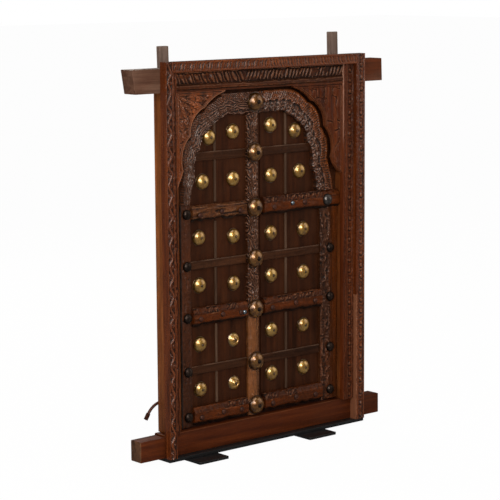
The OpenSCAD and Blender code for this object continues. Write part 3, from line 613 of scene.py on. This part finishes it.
def strip(node, along, count, carve, material, seed, edge=1.2, worn_and_highlit=0.75, split=None, highlight_line=None):
    """A carved strip in place of its plain CAD form; split says where it is broken, and highlight_line where
    a painted highlight runs as bare wood.
    """
    low, high = box_of(node)
    length, width = (high - low)[along], (high - low)[2 - along]
    u, v = sheet(length, width, count)
    depth = carve(*by_hand(u, v, seed, 2.0), length, width) + 0.45 * (1 + rough(u, v, 7, seed + 2))
    depth = np.clip(depth, 0, STRIP_LIMIT)
    wear, soil = worn_and_soiled(depth)
    near = np.minimum(v, width - v)
    wear, soil, bare = worn_and_highlit * wear * eased(near, 0.0, 2.5), 0.8 * soil * eased(near, 0.0, 1.5), None
    if split:
        wear, soil = np.maximum(wear, 1.6 * split(u, v)), soil * (1 - split(u, v))
    if highlight_line:
        wear, bare = np.maximum(wear, highlight_line(u, v)), np.clip(highlight_line(u, v), 0, 1)
    front = laid(low, along, u, v, low[1] + np.maximum(depth, worn_round(near, edge)))
    fit_out(solid(node + "_carved", front, high[1], wear, soil, bare), material, "frame", node)


def left_facing(u, v, length, width):
    """A scroll between two plain edges."""
    row = scroll(u, v - 2, width - 4, SCROLL_PITCH, SCROLL_DEEP)
    return np.where((v > 2) & (v < width - 2), row, 0.3)


def bead_lost(u, v):
    """The inner bead of the right facing has split off from about a third of the height down."""
    return ((u < LOST_BEAD_HIGH + 6 * uneven(v, u, 5, 40, 5)) & (v < LOST_BEAD_WIDE)).astype(float)


def right_facing(u, v, length, width):
    """Beads in crescents beside a plain bead, which is broken off low down."""
    row = crescents(u, v - 9, width - 12, FACING_PITCH, FACING_DEEP)
    plain = 1.6 * ridge(v - 8, 1.0)
    broken = 1.2 + 0.9 * rough(u * 0.3, v * 2, 5, 8)
    return np.where(bead_lost(u, v) > 0, broken, np.where((v > 9) & (v < width - 3), row, plain))


def top_facing(u, v, length, width):
    """Single leaves, far apart, that lean out from the middle."""
    y = v - width / 2
    x = from_middle(np.where(u < length / 2, 1.0, -1.0) * u - 0.8 * y + 3 * np.sin(y / 4), TOP_LEAF_PITCH)
    inside = eased(np.minimum(v - 2, width - 2 - v), 0, 4)
    leaf = ridge(x, 8.5) * (1 - 0.45 * ridge(x - 2, 1.6))
    depth = TOP_LEAF_DEEP * (1 - leaf) * eased(np.abs(x), 12.5, 8) + 0.5
    return inside * depth * (0.8 + 0.3 * uneven(u, v, 31, 20, 33))


def left_band(u, v, length, width):
    """Two cut lines with old nicks between them."""
    lines = 1.8 * np.maximum(ridge(v - 4.5, 1.1), ridge(v - 12.5, 1.3))
    nicks = 2.0 * ridge(v - 9, 3.2) * eased(uneven(u, v, 11, 9, 19), 0.1, 0.6)
    return np.maximum(lines, nicks)


def right_band(u, v, length, width):
    """Small beads in crescents between two cut lines."""
    row = crescents(u, v - 16, 14, BAND_PITCH, BAND_DEEP)
    lines = 1.6 * np.maximum(ridge(v - 6.5, 1.1), ridge(v - 32, 1.1))
    return np.where((v > 16) & (v < 30), row, lines)


def band_highlight(u, v):
    """A painted highlight along the right band's inner edge over its top, laid as pale bare wood."""
    return 0.8 * eased(u, 610, 680) * eased(v, 3.0, 1.5) * (0.75 + 0.25 * uneven(u, v, 9, 1, 3))


def drops(u, v, length, width):
    """Leaning drops over a plain moulding: large ones at the left, smaller ones close together further on."""
    middle = 0.40 * length
    left = u < middle
    pitch = np.where(left, 22.0, 11.0)
    y = v - DROP_MIDDLE
    x = from_middle(u - middle - np.where(left, -0.45, 0.4) * y, pitch)
    body = ridge(x, np.where(left, 6.4, 3.9) * ridge(y, 11.5) * (0.8 + 0.03 * y) + 1e-3)
    stem = 0.5 * ridge(np.abs(x) - 0.5 * pitch, 1.8) * left
    kept = (0.8 + 0.2 * uneven(u, v, 17, 15, 35)) * eased(uneven(u, v, 12, 11, 36), -1.0, 0.0)
    row = DROP_DEEP * (1 - np.maximum(body, stem) * kept)
    moulding = 0.5 + 1.5 * ridge(v - 15.5, 1.3) + 1.3 * ridge(v - 5, 1.1) + 0.9 * (1 - ridge(v - 10, 5))
    return np.where(v > DROP_TOP, 0.4, np.where(v > DROP_FOOT, row, moulding))


strip("facing_left", UPRIGHT, (620, 18), left_facing, carved_upright, seed=11, worn_and_highlit=0.55)
strip("facing_right", UPRIGHT, (620, 32), right_facing, carved_upright, seed=12, split=bead_lost)
strip("facing_top", LEVEL, (420, 20), top_facing, carved_level, seed=13)
strip("inner_band_left", UPRIGHT, (480, 14), left_band, carved_smooth, seed=14)
strip("inner_band_right", UPRIGHT, (480, 32), right_band, carved_smooth, seed=15, edge=2.2, highlight_line=band_highlight)
strip("inner_band_top", LEVEL, (420, 40), drops, rail_teak, seed=16, worn_and_highlit=0.65)

# Corner panels over the arch

PANEL_GAP = 4.0
PANEL_TAPER = 26.0
PANEL_EDGE = 2.2
CORNER_MARGIN, TIER = 8.0, 27.0
EDGE_POINTS, TOP_POINTS = 200, 3


def feathered_leaves(a, b, seed):
    """Tiers of feathered leaves that spread from the corner."""
    x, z = a - CORNER_MARGIN, b - CORNER_MARGIN
    far, angle = np.hypot(x, z), np.arctan2(z, x)
    tier = np.floor(far / TIER)
    within = far / TIER - tier
    swing = (angle / (np.pi / 2) * (2 + 2 * tier) + 0.5 * (tier % 2)) % 1 - 0.5
    body = ridge(swing, 0.49 * np.sqrt(np.clip(1.08 - within, 0.02, 1)))
    feathers = 0.5 + 0.5 * np.cos(2 * np.pi * (within * 3.2 + 2.4 * np.abs(swing)))
    return 3.4 * (1 - body * (0.62 + 0.38 * feathers)) + 0.8 * hollows(a, b, 5, 5, seed)


def rubbed_field(a, b, seed):
    """A field rubbed nearly smooth, with upright fibres and a few old cuts."""
    return 1.6 * hollows(a, b, 5, 40, seed) + 1.8 * ridge(uneven(a, b, 13, 20, seed + 1), 0.16)


def corner_panel(node, side, field, material, seed, rubbed_and_highlit, bare):
    """A corner panel with a border of two lines, a carved field, and a cusped edge down to a point."""
    low, high = box_of(node)
    whole = lobed_line() * (1 + PANEL_GAP / ARCH_A)
    foot = low[2] - SPRING
    start = [[np.interp(foot, whole[:, 1], whole[:, 0]), foot]]
    line = evenly(np.concatenate([start, whole[whole[:, 1] > foot]]), EDGE_POINTS)[0]
    top = np.linspace(line[-1, 1] + SPRING, high[2], TOP_POINTS + 1)[1:]
    rows_z = np.concatenate([line[:, 1] + SPRING, top])
    edge, tip = (low[0], high[0]) if side < 0 else (high[0], low[0])
    rows_x = np.concatenate([ARCH_X + side * line[:, 0], np.full(TOP_POINTS, tip)])
    rows_x = np.minimum(rows_x, tip) if side < 0 else np.maximum(rows_x, tip)
    taper = 0.06 + 0.94 * np.sqrt(np.clip((rows_z - low[2]) / PANEL_TAPER, 0, 1))
    rows_x = edge + (rows_x - edge) * taper
    x = edge + (rows_x - edge)[:, None] * np.linspace(0, 1, 121)
    z = rows_z[:, None] + 0 * x
    cut_x, cut_z = rows_x[:EDGE_POINTS], rows_z[:EDGE_POINTS]
    gap = np.sqrt(((x[..., None] - cut_x) ** 2 + (z[..., None] - cut_z) ** 2).min(-1))
    to_band, to_top = np.abs(x - edge), high[2] - z
    border = np.minimum(np.minimum(to_band, to_top), gap * 1.15)
    lines = 1.6 * np.maximum(ridge(border - 3.2, 0.9), ridge(border - 7.4, 1.2))
    a, b = by_hand(to_band, to_top, seed, 3.0, 18)
    depth = np.where(border < 8.5, lines, 0.4 + field(a, b, seed + 4))
    depth = np.clip(depth + 0.45 * (1 + rough(x, z, 8, seed + 2)), 0, STRIP_LIMIT)
    wear, soil = worn_and_soiled(depth, 3, 0.8)
    # The cusped edge is painted pale along its arris, as wear and as a painted highlight.
    wear = np.maximum(wear, rubbed_and_highlit * eased(gap, 5.0, 1.5))
    front = np.stack([x, low[1] + np.maximum(depth, worn_round(gap, PANEL_EDGE)), z], -1)
    fit_out(solid(node + "_carved", front, high[1], wear, 0.8 * soil, np.full(x.shape, bare)),
            material, "frame", node)


corner_panel("spandrel_left", -1, feathered_leaves, carved_upright, seed=31, rubbed_and_highlit=1.6, bare=0.75)
corner_panel("spandrel_right", 1, rubbed_field, carved_smooth, seed=41, rubbed_and_highlit=0.5, bare=0.0)

# Plain timbers and the stand


def sheltered_horn(points):
    """The head's right horn has kept its colour."""
    return eased(points[:, 0], 300, 320)


def end_grain(points):
    """Bare wood on the two ends of a cross timber."""
    x = points[:, 0]
    return (np.abs(x - (x.min() + x.max()) / 2) > np.ptp(x) / 2 - 1).astype(float)


softened("head_beam", teak_weathered, edge=2.2, sway=0.9, cell=60, seed=51, bare=sheltered_horn)
softened("sill_beam", teak_level, edge=2.0, sway=0.25, cell=60, seed=52, bare=end_grain)
softened("left_post", teak_upright, edge=1.5)
softened("right_post", teak_upright, edge=1.5)
softened("back_batten_left", teak_grey, edge=1.8, sway=1.0, cell=45, seed=55)
softened("back_batten_right", teak_grey, edge=1.8, sway=1.0, cell=45, seed=56)
softened("stand_bar", black_steel, edge=0.7)
softened("foot_left", black_steel, edge=0.8)
softened("foot_right", black_steel, edge=0.8)

# Cusped rim of the leaves

RIM_WIDE, RIM_LIMIT = 49.0, 9.0
RIM_HATCH, RIM_SLANT = 6.5, 6.5 / 9
ROSETTE_PITCH, ROSETTE_LINE = 23.0, 12.0


def braid(s, across, seed):
    """Left half of the rim: winding strands and a hatched border."""
    a, b = by_hand(s, across, seed, 1.8, 11)
    lumps = hollows(s, across, 8, 8, seed + 4)
    strand = swirls(a, b, 6.2, seed + 5, 0.12, 0.7)
    hatch = np.maximum(ridge(from_middle(a + RIM_SLANT * b, RIM_HATCH), 1.7),
                       ridge(from_middle(a - RIM_SLANT * b, RIM_HATCH), 1.7))
    lip = 4.0 * (1 - eased(across, 5, 14)) + 0.8 * lumps
    depth = np.where(across > 32, 0.6 + 1.7 * hatch + lumps, lip + 0.6 + 2.1 * (1 - strand))
    return depth, 0.5 * eased(across, 27, 36)


def rosettes(s, across, seed):
    """Right half of the rim: rosettes, and a smoother border with cuts across it."""
    a, b = by_hand(s, across, seed, 1.8, 11)
    lumps = hollows(s, across, 8, 8, seed + 4)
    place = from_middle(a, ROSETTE_PITCH)
    far, way = np.hypot(place, b - ROSETTE_LINE), np.arctan2(b - ROSETTE_LINE, place)
    petals = 0.72 + 0.28 * np.cos(5 * way + np.floor(a / ROSETTE_PITCH))
    rosette = ridge(far, 13.5) * petals + 0.35 * ridge(far, 4.5)
    cuts = ridge(from_middle(a + 0.25 * b, RIM_HATCH), 2.4) * eased(across, 48, 42)
    cuts = cuts * eased(uneven(s, across, 14, 9, seed + 5), -0.9, -0.2)
    border = eased(across + 5 * uneven(s, across, 12, 30, seed + 3), 24, 27)
    smooth = 0.4 + 2.6 * cuts + 0.9 * lumps + 1.6 * eased(across, 44, 49) ** 2
    depth = border * smooth + (1 - border) * (5.4 * (1 - rosette) + 1.2 * lumps)
    return depth, border * (0.75 + 0.25 * uneven(s, across, 30, 20, seed + 9))


def rim(leaf, side, carve, seed, edge, reach, scale):
    """Half of the cusped rim on a leaf, from the arch's foot up to the meeting line."""
    node = f"{leaf}_rim"
    low, high = box_of(node)
    end = side * ((high[0] if side < 0 else low[0]) - ARCH_X)
    lobes = lobed_line()
    top = lobes[-1]
    flat = np.stack([np.linspace(top[0], end, 30)[1:], np.full(29, top[1])], 1)
    outer, run = evenly(np.concatenate([lobes, flat]), 340)
    inner = outer * (RIM_OPEN + 0.008 * wander(run, 11, seed + 6))[:, None]
    on_flat = outer[:, 0] < top[0]
    inner[on_flat, 0] = np.interp(outer[on_flat, 0], [end, top[0]], [end, top[0] * RIM_OPEN])
    limit = side * ((LEAF_LEFT if side < 0 else LEAF_RIGHT) - ARCH_X)
    keep = np.minimum(1, limit / np.maximum(outer[:, 0], 1))[:, None]
    outer = np.where(outer[:, :1] > limit, outer * keep, outer)
    if leaf == "left":
        outer = outer * np.where(on_flat, 1.0, 0.965 + 0.01 * wander(run, 19, seed + 7))[:, None]
    share = np.linspace(0, 1, 43)
    x = inner[:, None, 0] + (outer - inner)[:, None, 0] * share
    z = inner[:, None, 1] + (outer - inner)[:, None, 1] * share
    s = run[:, None] * np.ones_like(share)
    across = share * RIM_WIDE + 0 * s
    depth, bare = carve(s, across, seed)
    depth = np.clip(depth + 0.5 * (1 + rough(s, across, 7, seed)), 0, RIM_LIMIT)
    wear, soil = worn_and_soiled(depth, reach, scale)
    depth = np.maximum(depth, worn_round(RIM_WIDE - across, edge))
    front = np.stack([ARCH_X + side * x, low[1] + depth, SPRING + z], -1)
    fit_out(solid(node + "_carved", front, high[1], wear * (1 - 0.6 * bare), soil, bare),
            carved_dark, f"{leaf}_leaf", node)


rim("left", -1, braid, seed=61, edge=5.0, reach=3, scale=0.8)
rim("right", 1, rosettes, seed=71, edge=3.0, reach=4, scale=1.4)

# Rails, astragal and flat battens: planted bars

BAR_END = 2.2


def moulded(node, along, count, section, carve, material, body, seed, box=None, name=None):
    """A planted bar with its own section, as (height over the boards, place across) shares, carved along its
    length; a carving gives its cuts, sideways waves, rubbed and highlit places, painted shade, and bare wood."""
    low, high = box or box_of(node)
    length, width, thick = (high - low)[along], (high - low)[2 - along], (high - low)[1]
    outline, run = evenly(np.array([[place * width, up * thick] for up, place in section]), count[1] + 1)
    u = np.linspace(0, length, count[0] + 1)[:, None] * np.ones(count[1] + 1)
    v = outline[:, 0] + 0 * u
    cut, wave, rubbed_and_highlit, painted_shade, bare = carve(u, v, length, width)
    cut = cut + 0.5 * (1 + rough(u, run + 0 * u, 8, seed))
    slope = np.gradient(outline, axis=0)
    slope = slope / np.hypot(*slope.T)[:, None]
    across = np.clip(v + slope[:, 1] * cut + wave, 0, width)
    up = np.clip(outline[:, 1] - slope[:, 0] * cut, 0.6, thick)
    up = np.minimum(up, thick - worn_round(np.minimum(u, length - u), BAR_END))
    wear, soil = worn_and_soiled(cut, 3, 1.2)
    # Rubbed places are painted pale as wear and highlight; the painted shade darkens the chamfer under the
    # bar.
    wear, soil = np.maximum(wear, rubbed_and_highlit) * (1 - painted_shade), np.maximum(soil, painted_shade)
    front = laid(low, along, u, across, high[1] - up)
    fit_out(solid(name or node + "_carved", front, high[1], wear, soil, bare), material, body, node)


RAIL_SECTION = [(0.05, 0.02), (0.55, 0.0), (0.62, 0.03), (0.96, 0.25), (1.0, 0.30), (1.0, 0.70), (0.93, 0.77),
                (0.62, 0.98), (0.5, 1.0), (0.05, 0.99)]
RAIL_LEAF_WIDE, RAIL_LEAF_PITCH, RAIL_LEAF_DEEP = 19.0, 21.0, 2.6


def rail_foot(u, share, seed):
    """The ragged lower edge of a rail, and the painted shadow on its lower chamfer."""
    drop = np.clip(2.2 + 2.8 * wander(u, 15, seed + 5), 0, 5.5) * eased(share, 0.34, 0.0)
    return drop, eased(share, 0.25, 0.10)


def leafy_rail(seed):
    """Leaf cuts along a rail's top bevel, broken here and there, over a plain front."""
    def carve(u, v, length, width):
        share = v / width
        a, b = by_hand(u, np.clip((share - 0.66) / 0.32, 0, 1) * RAIL_LEAF_WIDE, seed, 3.4, 13)
        kept = eased(wander(u, 29, seed + 2), -0.6, 0.2)
        leaves = leaning_leaves(a, b, RAIL_LEAF_WIDE, RAIL_LEAF_PITCH, 0.8, RAIL_LEAF_DEEP) * kept
        leaves = leaves + 1.7 * hollows(u, v, 9, 6, seed + 6)
        plain = 0.9 * hollows(u, v, 33, 6, seed + 7) + 0.8 * hollows(u, v, 12, 9, seed + 8)
        carved = (share > 0.66) & (share < 0.985)
        # The leaves' tops are painted pale, as wear and as a painted highlight.
        rubbed_and_highlit = 0.8 * carved * kept * eased(leaves, 1.3, 0.4)
        rubbed_and_highlit = rubbed_and_highlit * eased(uneven(u, v, 11, 9, seed + 9), -0.3, 0.5)
        drop, painted_shade = rail_foot(u, share, seed)
        return np.where(carved, 0.85 * leaves, plain), drop, rubbed_and_highlit, painted_shade, eased(share, 0.70, 0.62)
    return carve


def worn_log(seed):
    """A rail worn round like a log."""
    def carve(u, v, length, width):
        share = v / width
        cut = 2.6 * hollows(u, v, 55, 6, seed + 3) + 2.4 * hollows(u, v, 19, 9, seed + 4)
        cut = cut + hollows(u, v, 8, 5, seed + 6) + 5 * np.clip(np.abs(2 * share - 1) - 0.3, 0, 1) ** 2
        drop, painted_shade = rail_foot(u, share, seed)
        return cut, drop, 0.0, painted_shade, None
    return carve


for number, leaf in enumerate(("left", "right")):
    for level, name in enumerate(("bottom", "middle", "top")):
        node, seed = f"{leaf}_rail_{name}", 81 + 3 * number + level
        carve, wood = (worn_log, log_teak) if node == "left_rail_top" else (leafy_rail, rail_teak)
        moulded(node, LEVEL, (150, 40), RAIL_SECTION, carve(seed), wood, f"{leaf}_leaf",
                seed=seed + 10)

ASTRAGAL_SECTION = [(0.05, 0.0), (0.45, 0.0), (0.62, 0.06), (0.88, 0.22), (1.0, 0.42), (1.0, 0.58),
                    (0.88, 0.78), (0.62, 0.94), (0.45, 1.0), (0.05, 1.0)]
TWIST_PITCH, TWIST_DEEP = 26.0, 2.2


def astragal_carving(u, v, length, width):
    """Twisted leaves up the meeting bar, worn away over its lowest third."""
    a, b = by_hand(u, v, 17, 4.0, 15)
    twist = leaning_leaves(a, b, width, TWIST_PITCH, 0.75, TWIST_DEEP)
    curls = 2.8 * (1 - swirls(a, b, 6.8, 23, 0.4, 1.4))
    kept = eased(u + 25 * uneven(u, v, 30, 12, 5), 0.30 * length, 0.42 * length)
    plain = 1.3 * hollows(u, v, 40, 6, 7) + 1.5 * hollows(u, v, 14, 9, 9)
    return kept * (0.5 * twist + curls) + (1 - kept) * plain, 0.0, 0.0, 0.0 * u, 0.95 * (1 - kept)


moulded("astragal", UPRIGHT, (600, 36), ASTRAGAL_SECTION, astragal_carving, bar_teak, "left_leaf",
        seed=101)

# Fronts of the stiles, and the CAD pieces that only take a finish

STILE_OUT, STILE_LAP, STILE_LIMIT, STILE_EDGE = 4.2, 0.5, 4.4, 3.0


def worn_lumps(u, v, length, width, seed):
    """Long worn lumps, on the left stile."""
    depth = 1.7 * hollows(u, v, 38, 6, seed + 2) + 1.3 * hollows(u, v, 12, 8, seed + 3)
    return depth + 0.7 * hollows(u, v, 6, 3, seed + 4), 0.8 + 0 * u


def broken_bead(u, v, length, width, seed):
    """A broken carved bead beside the boards and plain wood beyond it, on the right stile."""
    bead = eased(v / width + 0.05 * wander(u, 25, seed + 7), 0.60, 0.48)
    broken = 2.8 * hollows(u, v, 17, 11, seed + 2) + 1.6 * hollows(u, v, 7, 6, seed + 4)
    broken = broken + 0.7 * (1 - swirls(u, v, 11.0, seed + 3, 0.7))
    plain = 1.8 + 0.9 * hollows(u, v, 55, 4, seed + 5)
    bare = np.maximum(1 - bead, 0.7 * eased(u, 0.34 * length, 0.2 * length))
    return bead * broken + (1 - bead) * plain, bare


def stile_face(leaf, carve, seed):
    """The battered front of a hanging stile, over its CAD form, which keeps the heel and the pivots."""
    low, high = box_of(f"{leaf}_stile")
    low[2], high[2] = box_of("left_boards")[0][2] + 1, SPRING - 1
    length, width = high[2] - low[2], high[0] - low[0]
    u, v = sheet(length, width, (400, 32))
    depth, bare = carve(u, v, length, width, seed)
    depth = np.clip(depth, 0, STILE_LIMIT)
    wear, soil = worn_and_soiled(depth, 4, 1.2)
    # The left stile is darkened overall, and painted shade runs down its left edge beside the gap to the
    # band.
    if leaf == "left":
        wear, soil = 0.5 * wear, np.maximum(np.maximum(soil, 0.28), eased(v, 5.0, 2.5))
    depth = np.maximum(depth, worn_round(np.minimum(v, width - v), STILE_EDGE))
    face = box_of("left_stile")[0][1]
    front = laid(low, UPRIGHT, u, v, face - STILE_OUT + depth)
    fit_out(solid(f"{leaf}_stile_face", front, face + STILE_LAP, wear, soil, bare), stile_teak,
            f"{leaf}_leaf")


stile_face("left", worn_lumps, seed=111)
stile_face("right", broken_bead, seed=121)

ONLY_FINISHED = [("left_boards", board_teak, "teak_dark"), ("right_boards", board_teak, "teak_dark"),
                 ("left_fillets", fillet_teak, "teak_dark"), ("right_fillets", fillet_teak, "teak_dark"),
                 ("left_stile", stile_teak, "teak_dark"), ("right_stile", stile_teak, "teak_dark"),
                 ("iron_hook", rusty_iron, "iron")]
for node, material, slot in ONLY_FINISHED:
    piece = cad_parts[node]
    piece.data.materials.clear()
    piece.data.materials.append(material)

BATTEN_SECTION = [(0.1, 0.0), (0.9, 0.0), (1.0, 0.06), (1.0, 0.90), (0.86, 1.0), (0.1, 1.0)]


def batten_wear(u, v, length, width):
    """A flat batten's upper arris is painted pale, as wear and as a painted highlight."""
    rubbed_and_highlit = eased(v / width, 0.84, 0.93) * (0.7 + 0.4 * uneven(u, v, 25, 9, 4))
    return 0.5 * hollows(u, v, 30, 5, 3), 0.0, rubbed_and_highlit, 0.0 * u, None


for leaf in ("left", "right"):
    node = f"{leaf}_flat_battens"
    for number, box in enumerate(solids_of(node)):
        moulded(node, LEVEL, (70, 22), BATTEN_SECTION, batten_wear, batten_teak, f"{leaf}_leaf",
                seed=131 + number, box=box, name=f"{leaf}_flat_batten_{number + 1}")

# Bosses, their nails, and the studs: half sections as (radius, height) points

NAIL = [(0, -1), (3.4, -1), (3.4, 0.4), (2.9, 1.4), (1.7, 2.2), (0, 2.4)]
BIG_NAIL = [(0, -1), (5.4, -1), (5.4, 0.6), (4.4, 2.2), (2.2, 3.0), (0, 3.2)]
RAIL_NAIL = [(0, -0.5), (6.6, -0.5), (6.6, 0.5), (5.6, 2.0), (3.2, 3.0), (0, 3.4)]
STEEL_STUD = [(0, -0.5), (5.6, -0.5), (5.6, 1.0), (4.6, 3.0), (2.4, 4.2), (0, 4.4)]
RAIL_NAIL_PLACES = [(0.12, 0.42), (0.52, 0.50), (0.86, 0.44)]
DOME_ANGLES = [math.radians(a) for a in range(0, 90, 9)]
RINGED_TOP = [(0.86, 0.30), (0.70, 0.52), (0.56, 0.60), (0.50, 0.52), (0.44, 0.60), (0.30, 0.78),
              (0.14, 0.86), (0, 0.88)]
BRIM = 0.8
NAIL_SINK, BIG_NAIL_SINK, RAIL_SINK = 0.3, 0.4, 0.6
BOSS_LEAN = 4.0
LAP_STUD = 1.2


def dome(radius, height, brim=0.0):
    """A round-headed boss, with a thin brim where it has one."""
    inner = radius - brim
    round_top = [(inner * math.cos(a) ** 0.9, BRIM + (height - BRIM) * math.sin(a)) for a in DOME_ANGLES]
    return [(0, 0), (radius, 0), (radius, BRIM)] + round_top + [(0, height)]


def ringed(radius, height):
    """A flatter boss with a ring round its middle."""
    top = [(across * radius, up * height) for across, up in RINGED_TOP]
    return [(0, 0), (radius, 0), (radius, 0.9)] + top


def bosses(leaf, seed):
    """The small brass bosses of a leaf and their nails; two of the left leaf's are later, flatter ones."""
    chance = np.random.default_rng(seed)
    made, nails = [], []
    for x, back, z, high, radius in places_in(f"{leaf}_bosses"):
        lean = chance.uniform(-BOSS_LEAN, BOSS_LEAN, 2)
        later = leaf == "left" and x > -120 and z < 320
        boss = (ringed(radius * 0.9, high * 0.75), 40) if later else (dome(radius, high, 0.7), 44)
        top = 0.66 * high if later else high
        made.append((*boss, (x, back, z), lean))
        nails.append((NAIL, 14, (x, back - top + NAIL_SINK, z), lean))
    body = f"{leaf}_leaf"
    fit_out(set_out(f"{leaf}_bosses_cast", made), brass, body, f"{leaf}_bosses")
    fit_out(set_out(f"{leaf}_boss_nails_cast", nails), nail_brass, body, f"{leaf}_boss_nails")


def astragal_bosses():
    """The large bosses on the meeting bar, with their nails."""
    made, nails = [], []
    for x, back, z, high, radius in places_in("astragal_bosses"):
        made.append((dome(radius, high, 1.2), 48, (x, back, z)))
        nails.append((BIG_NAIL, 16, (x, back - high + BIG_NAIL_SINK, z)))
    body = "left_leaf"
    fit_out(set_out("astragal_bosses_cast", made), antique_brass, body, "astragal_bosses")
    fit_out(set_out("astragal_boss_nails_cast", nails), iron, body, "astragal_boss_nails")


def studs(leaf):
    """The round-headed studs of a stile; the right leaf's top one is a larger grey one."""
    places = places_in(f"{leaf}_studs")
    if leaf == "right":
        x, back, z, high, radius = places.pop()
        lap = (dome(LAP_STUD * radius, LAP_STUD * high), 32, (x, back - 1, z))
        fit_out(set_out("right_lap_stud", [lap]), grey_steel, "right_leaf")
    made = [(dome(radius, high), 28, (x, back - 3, z)) for x, back, z, high, radius in places]
    fit_out(set_out(f"{leaf}_studs_forged", made), iron, f"{leaf}_leaf", f"{leaf}_studs")


def rail_nails(leaf):
    """Low nail heads along the fronts of a leaf's rails."""
    heads = []
    for level in ("bottom", "middle", "top"):
        low, high = box_of(f"{leaf}_rail_{level}")
        for along, up in RAIL_NAIL_PLACES:
            place = low[0] + along * (high[0] - low[0]), low[1] + RAIL_SINK, low[2] + up * (high[2] - low[2])
            heads.append((RAIL_NAIL, 16, place))
    fit_out(set_out(f"{leaf}_rail_nails", heads), rusty_iron, f"{leaf}_leaf")


def steel_stud(leaf, level, x, z):
    """A later bright stud on a rail."""
    front = box_of(f"{leaf}_rail_{level}")[0][1]
    stud = (STEEL_STUD, 24, (x, front + RAIL_SINK, z))
    fit_out(set_out(f"{leaf}_steel_stud", [stud]), bright_steel, f"{leaf}_leaf")


bosses("left", seed=5)
bosses("right", seed=6)
astragal_bosses()
for leaf in ("left", "right"):
    studs(leaf)
    rail_nails(leaf)
steel_stud("right", "top", x=90, z=573)
steel_stud("left", "middle", x=-63, z=326)

# Stage, light and camera; lengths are in metres from here

FLOOR_HALF = 30.0
LAMP_COLOUR = (1.0, 0.95, 0.88)
AIM = Vector((-0.0316, 0.002, 0.46954))
CAMERA_AZIMUTH, CAMERA_ELEVATION, CAMERA_ROLL = -40.5, 8.56, -0.37
CAMERA_DISTANCE, CAMERA_LENS, CAMERA_SENSOR = 4.4082, 133.9, 36
WHITE = (1, 1, 1, 1)


def blended(tree, share, first, second, output):
    """Ends a shader tree with two shaders, the second one by its share."""
    blend = tree.nodes.new("ShaderNodeMixShader")
    for socket, value in zip(blend.inputs, (share, first.outputs[0], second.outputs[0])):
        tree.links.new(value, socket)
    node_of(tree, output, Surface=blend.outputs[0])


def pale_floor():
    """A pale floor that keeps its shadows but looks nearly white to the camera, and faint in reflections."""
    bm = bmesh.new()
    bmesh.ops.create_grid(bm, x_segments=1, y_segments=1, size=FLOOR_HALF)
    mesh = bpy.data.meshes.new("floor")
    bm.to_mesh(mesh)
    bm.free()
    floor = bpy.data.objects.new("floor", mesh)
    bpy.context.scene.collection.objects.link(floor)
    pale = bpy.data.materials.new("pale_floor")
    pale.use_nodes = True
    tree = pale.node_tree
    tree.nodes.clear()
    ray = tree.nodes.new("ShaderNodeLightPath").outputs
    mirrored = sum_of(tree, "MAXIMUM", ray["Is Glossy Ray"], ray["Is Transmission Ray"])
    direct = sum_of(tree, "MULTIPLY", ray["Is Camera Ray"], 0.98)
    strength = sum_of(tree, "MULTIPLY_ADD", ray["Is Camera Ray"], 0.86, 0.14)
    matt = node_of(tree, "ShaderNodeBsdfDiffuse", Color=(0.86, 0.86, 0.86, 1))
    white = node_of(tree, "ShaderNodeEmission", Color=WHITE, Strength=strength)
    blended(tree, sum_of(tree, "MAXIMUM", direct, mirrored), matt, white, "ShaderNodeOutputMaterial")
    mesh.materials.append(pale)


def studio():
    """White behind the window for the camera, and a soft warm light from all round."""
    world = bpy.data.worlds.new("studio")
    bpy.context.scene.world = world
    world.use_nodes = True
    tree = world.node_tree
    tree.nodes.clear()
    seen = tree.nodes.new("ShaderNodeLightPath").outputs["Is Camera Ray"]
    soft = node_of(tree, "ShaderNodeBackground", Color=(1, 0.92, 0.82, 1), Strength=0.07)
    plain = node_of(tree, "ShaderNodeBackground", Color=WHITE, Strength=1.0)
    blended(tree, seen, soft, plain, "ShaderNodeOutputWorld")


def set_up(name, data, azimuth, elevation, distance, roll=0.0):
    """A lamp or a camera at its place, facing the window."""
    obj = bpy.data.objects.new(name, data)
    bpy.context.scene.collection.objects.link(obj)
    a, e = math.radians(azimuth), math.radians(elevation)
    back = Vector((math.sin(a) * math.cos(e), -math.cos(a) * math.cos(e), math.sin(e)))
    obj.location = AIM + back * distance
    obj.rotation_mode = "QUATERNION"
    turn = Matrix.Rotation(math.radians(roll), 4, "Z").to_quaternion()
    obj.rotation_quaternion = (-back).to_track_quat("-Z", "Y") @ turn
    return obj


def soft_box(name, azimuth, elevation, distance, width, height, power):
    """A flat lamp."""
    lamp = bpy.data.lights.new(name, "AREA")
    lamp.shape = "RECTANGLE"
    lamp.size = width
    lamp.size_y = height
    lamp.energy = power
    lamp.color = LAMP_COLOUR
    set_up(name, lamp, azimuth, elevation, distance)


pale_floor()
studio()
soft_box("key_light", -36, 26, 3.0, 1.7, 1.7, 50)
soft_box("front_light", -13, 12, 3.0, 0.42, 0.7, 17)
soft_box("left_light", -82, 20, 3.0, 1.6, 1.6, 26)
soft_box("right_light", 55, 20, 3.2, 2.4, 2.4, 14)
soft_box("top_light", -20, 72, 3.0, 2.4, 2.4, 26)
soft_box("back_light", 165, 35, 3.2, 1.2, 1.2, 48)
lens = bpy.data.cameras.new("camera")
lens.lens = CAMERA_LENS
lens.sensor_width = CAMERA_SENSOR
camera = set_up("camera", lens, CAMERA_AZIMUTH, CAMERA_ELEVATION, CAMERA_DISTANCE, CAMERA_ROLL)
bpy.context.scene.camera = camera
bpy.context.scene.view_settings.view_transform = "Standard"
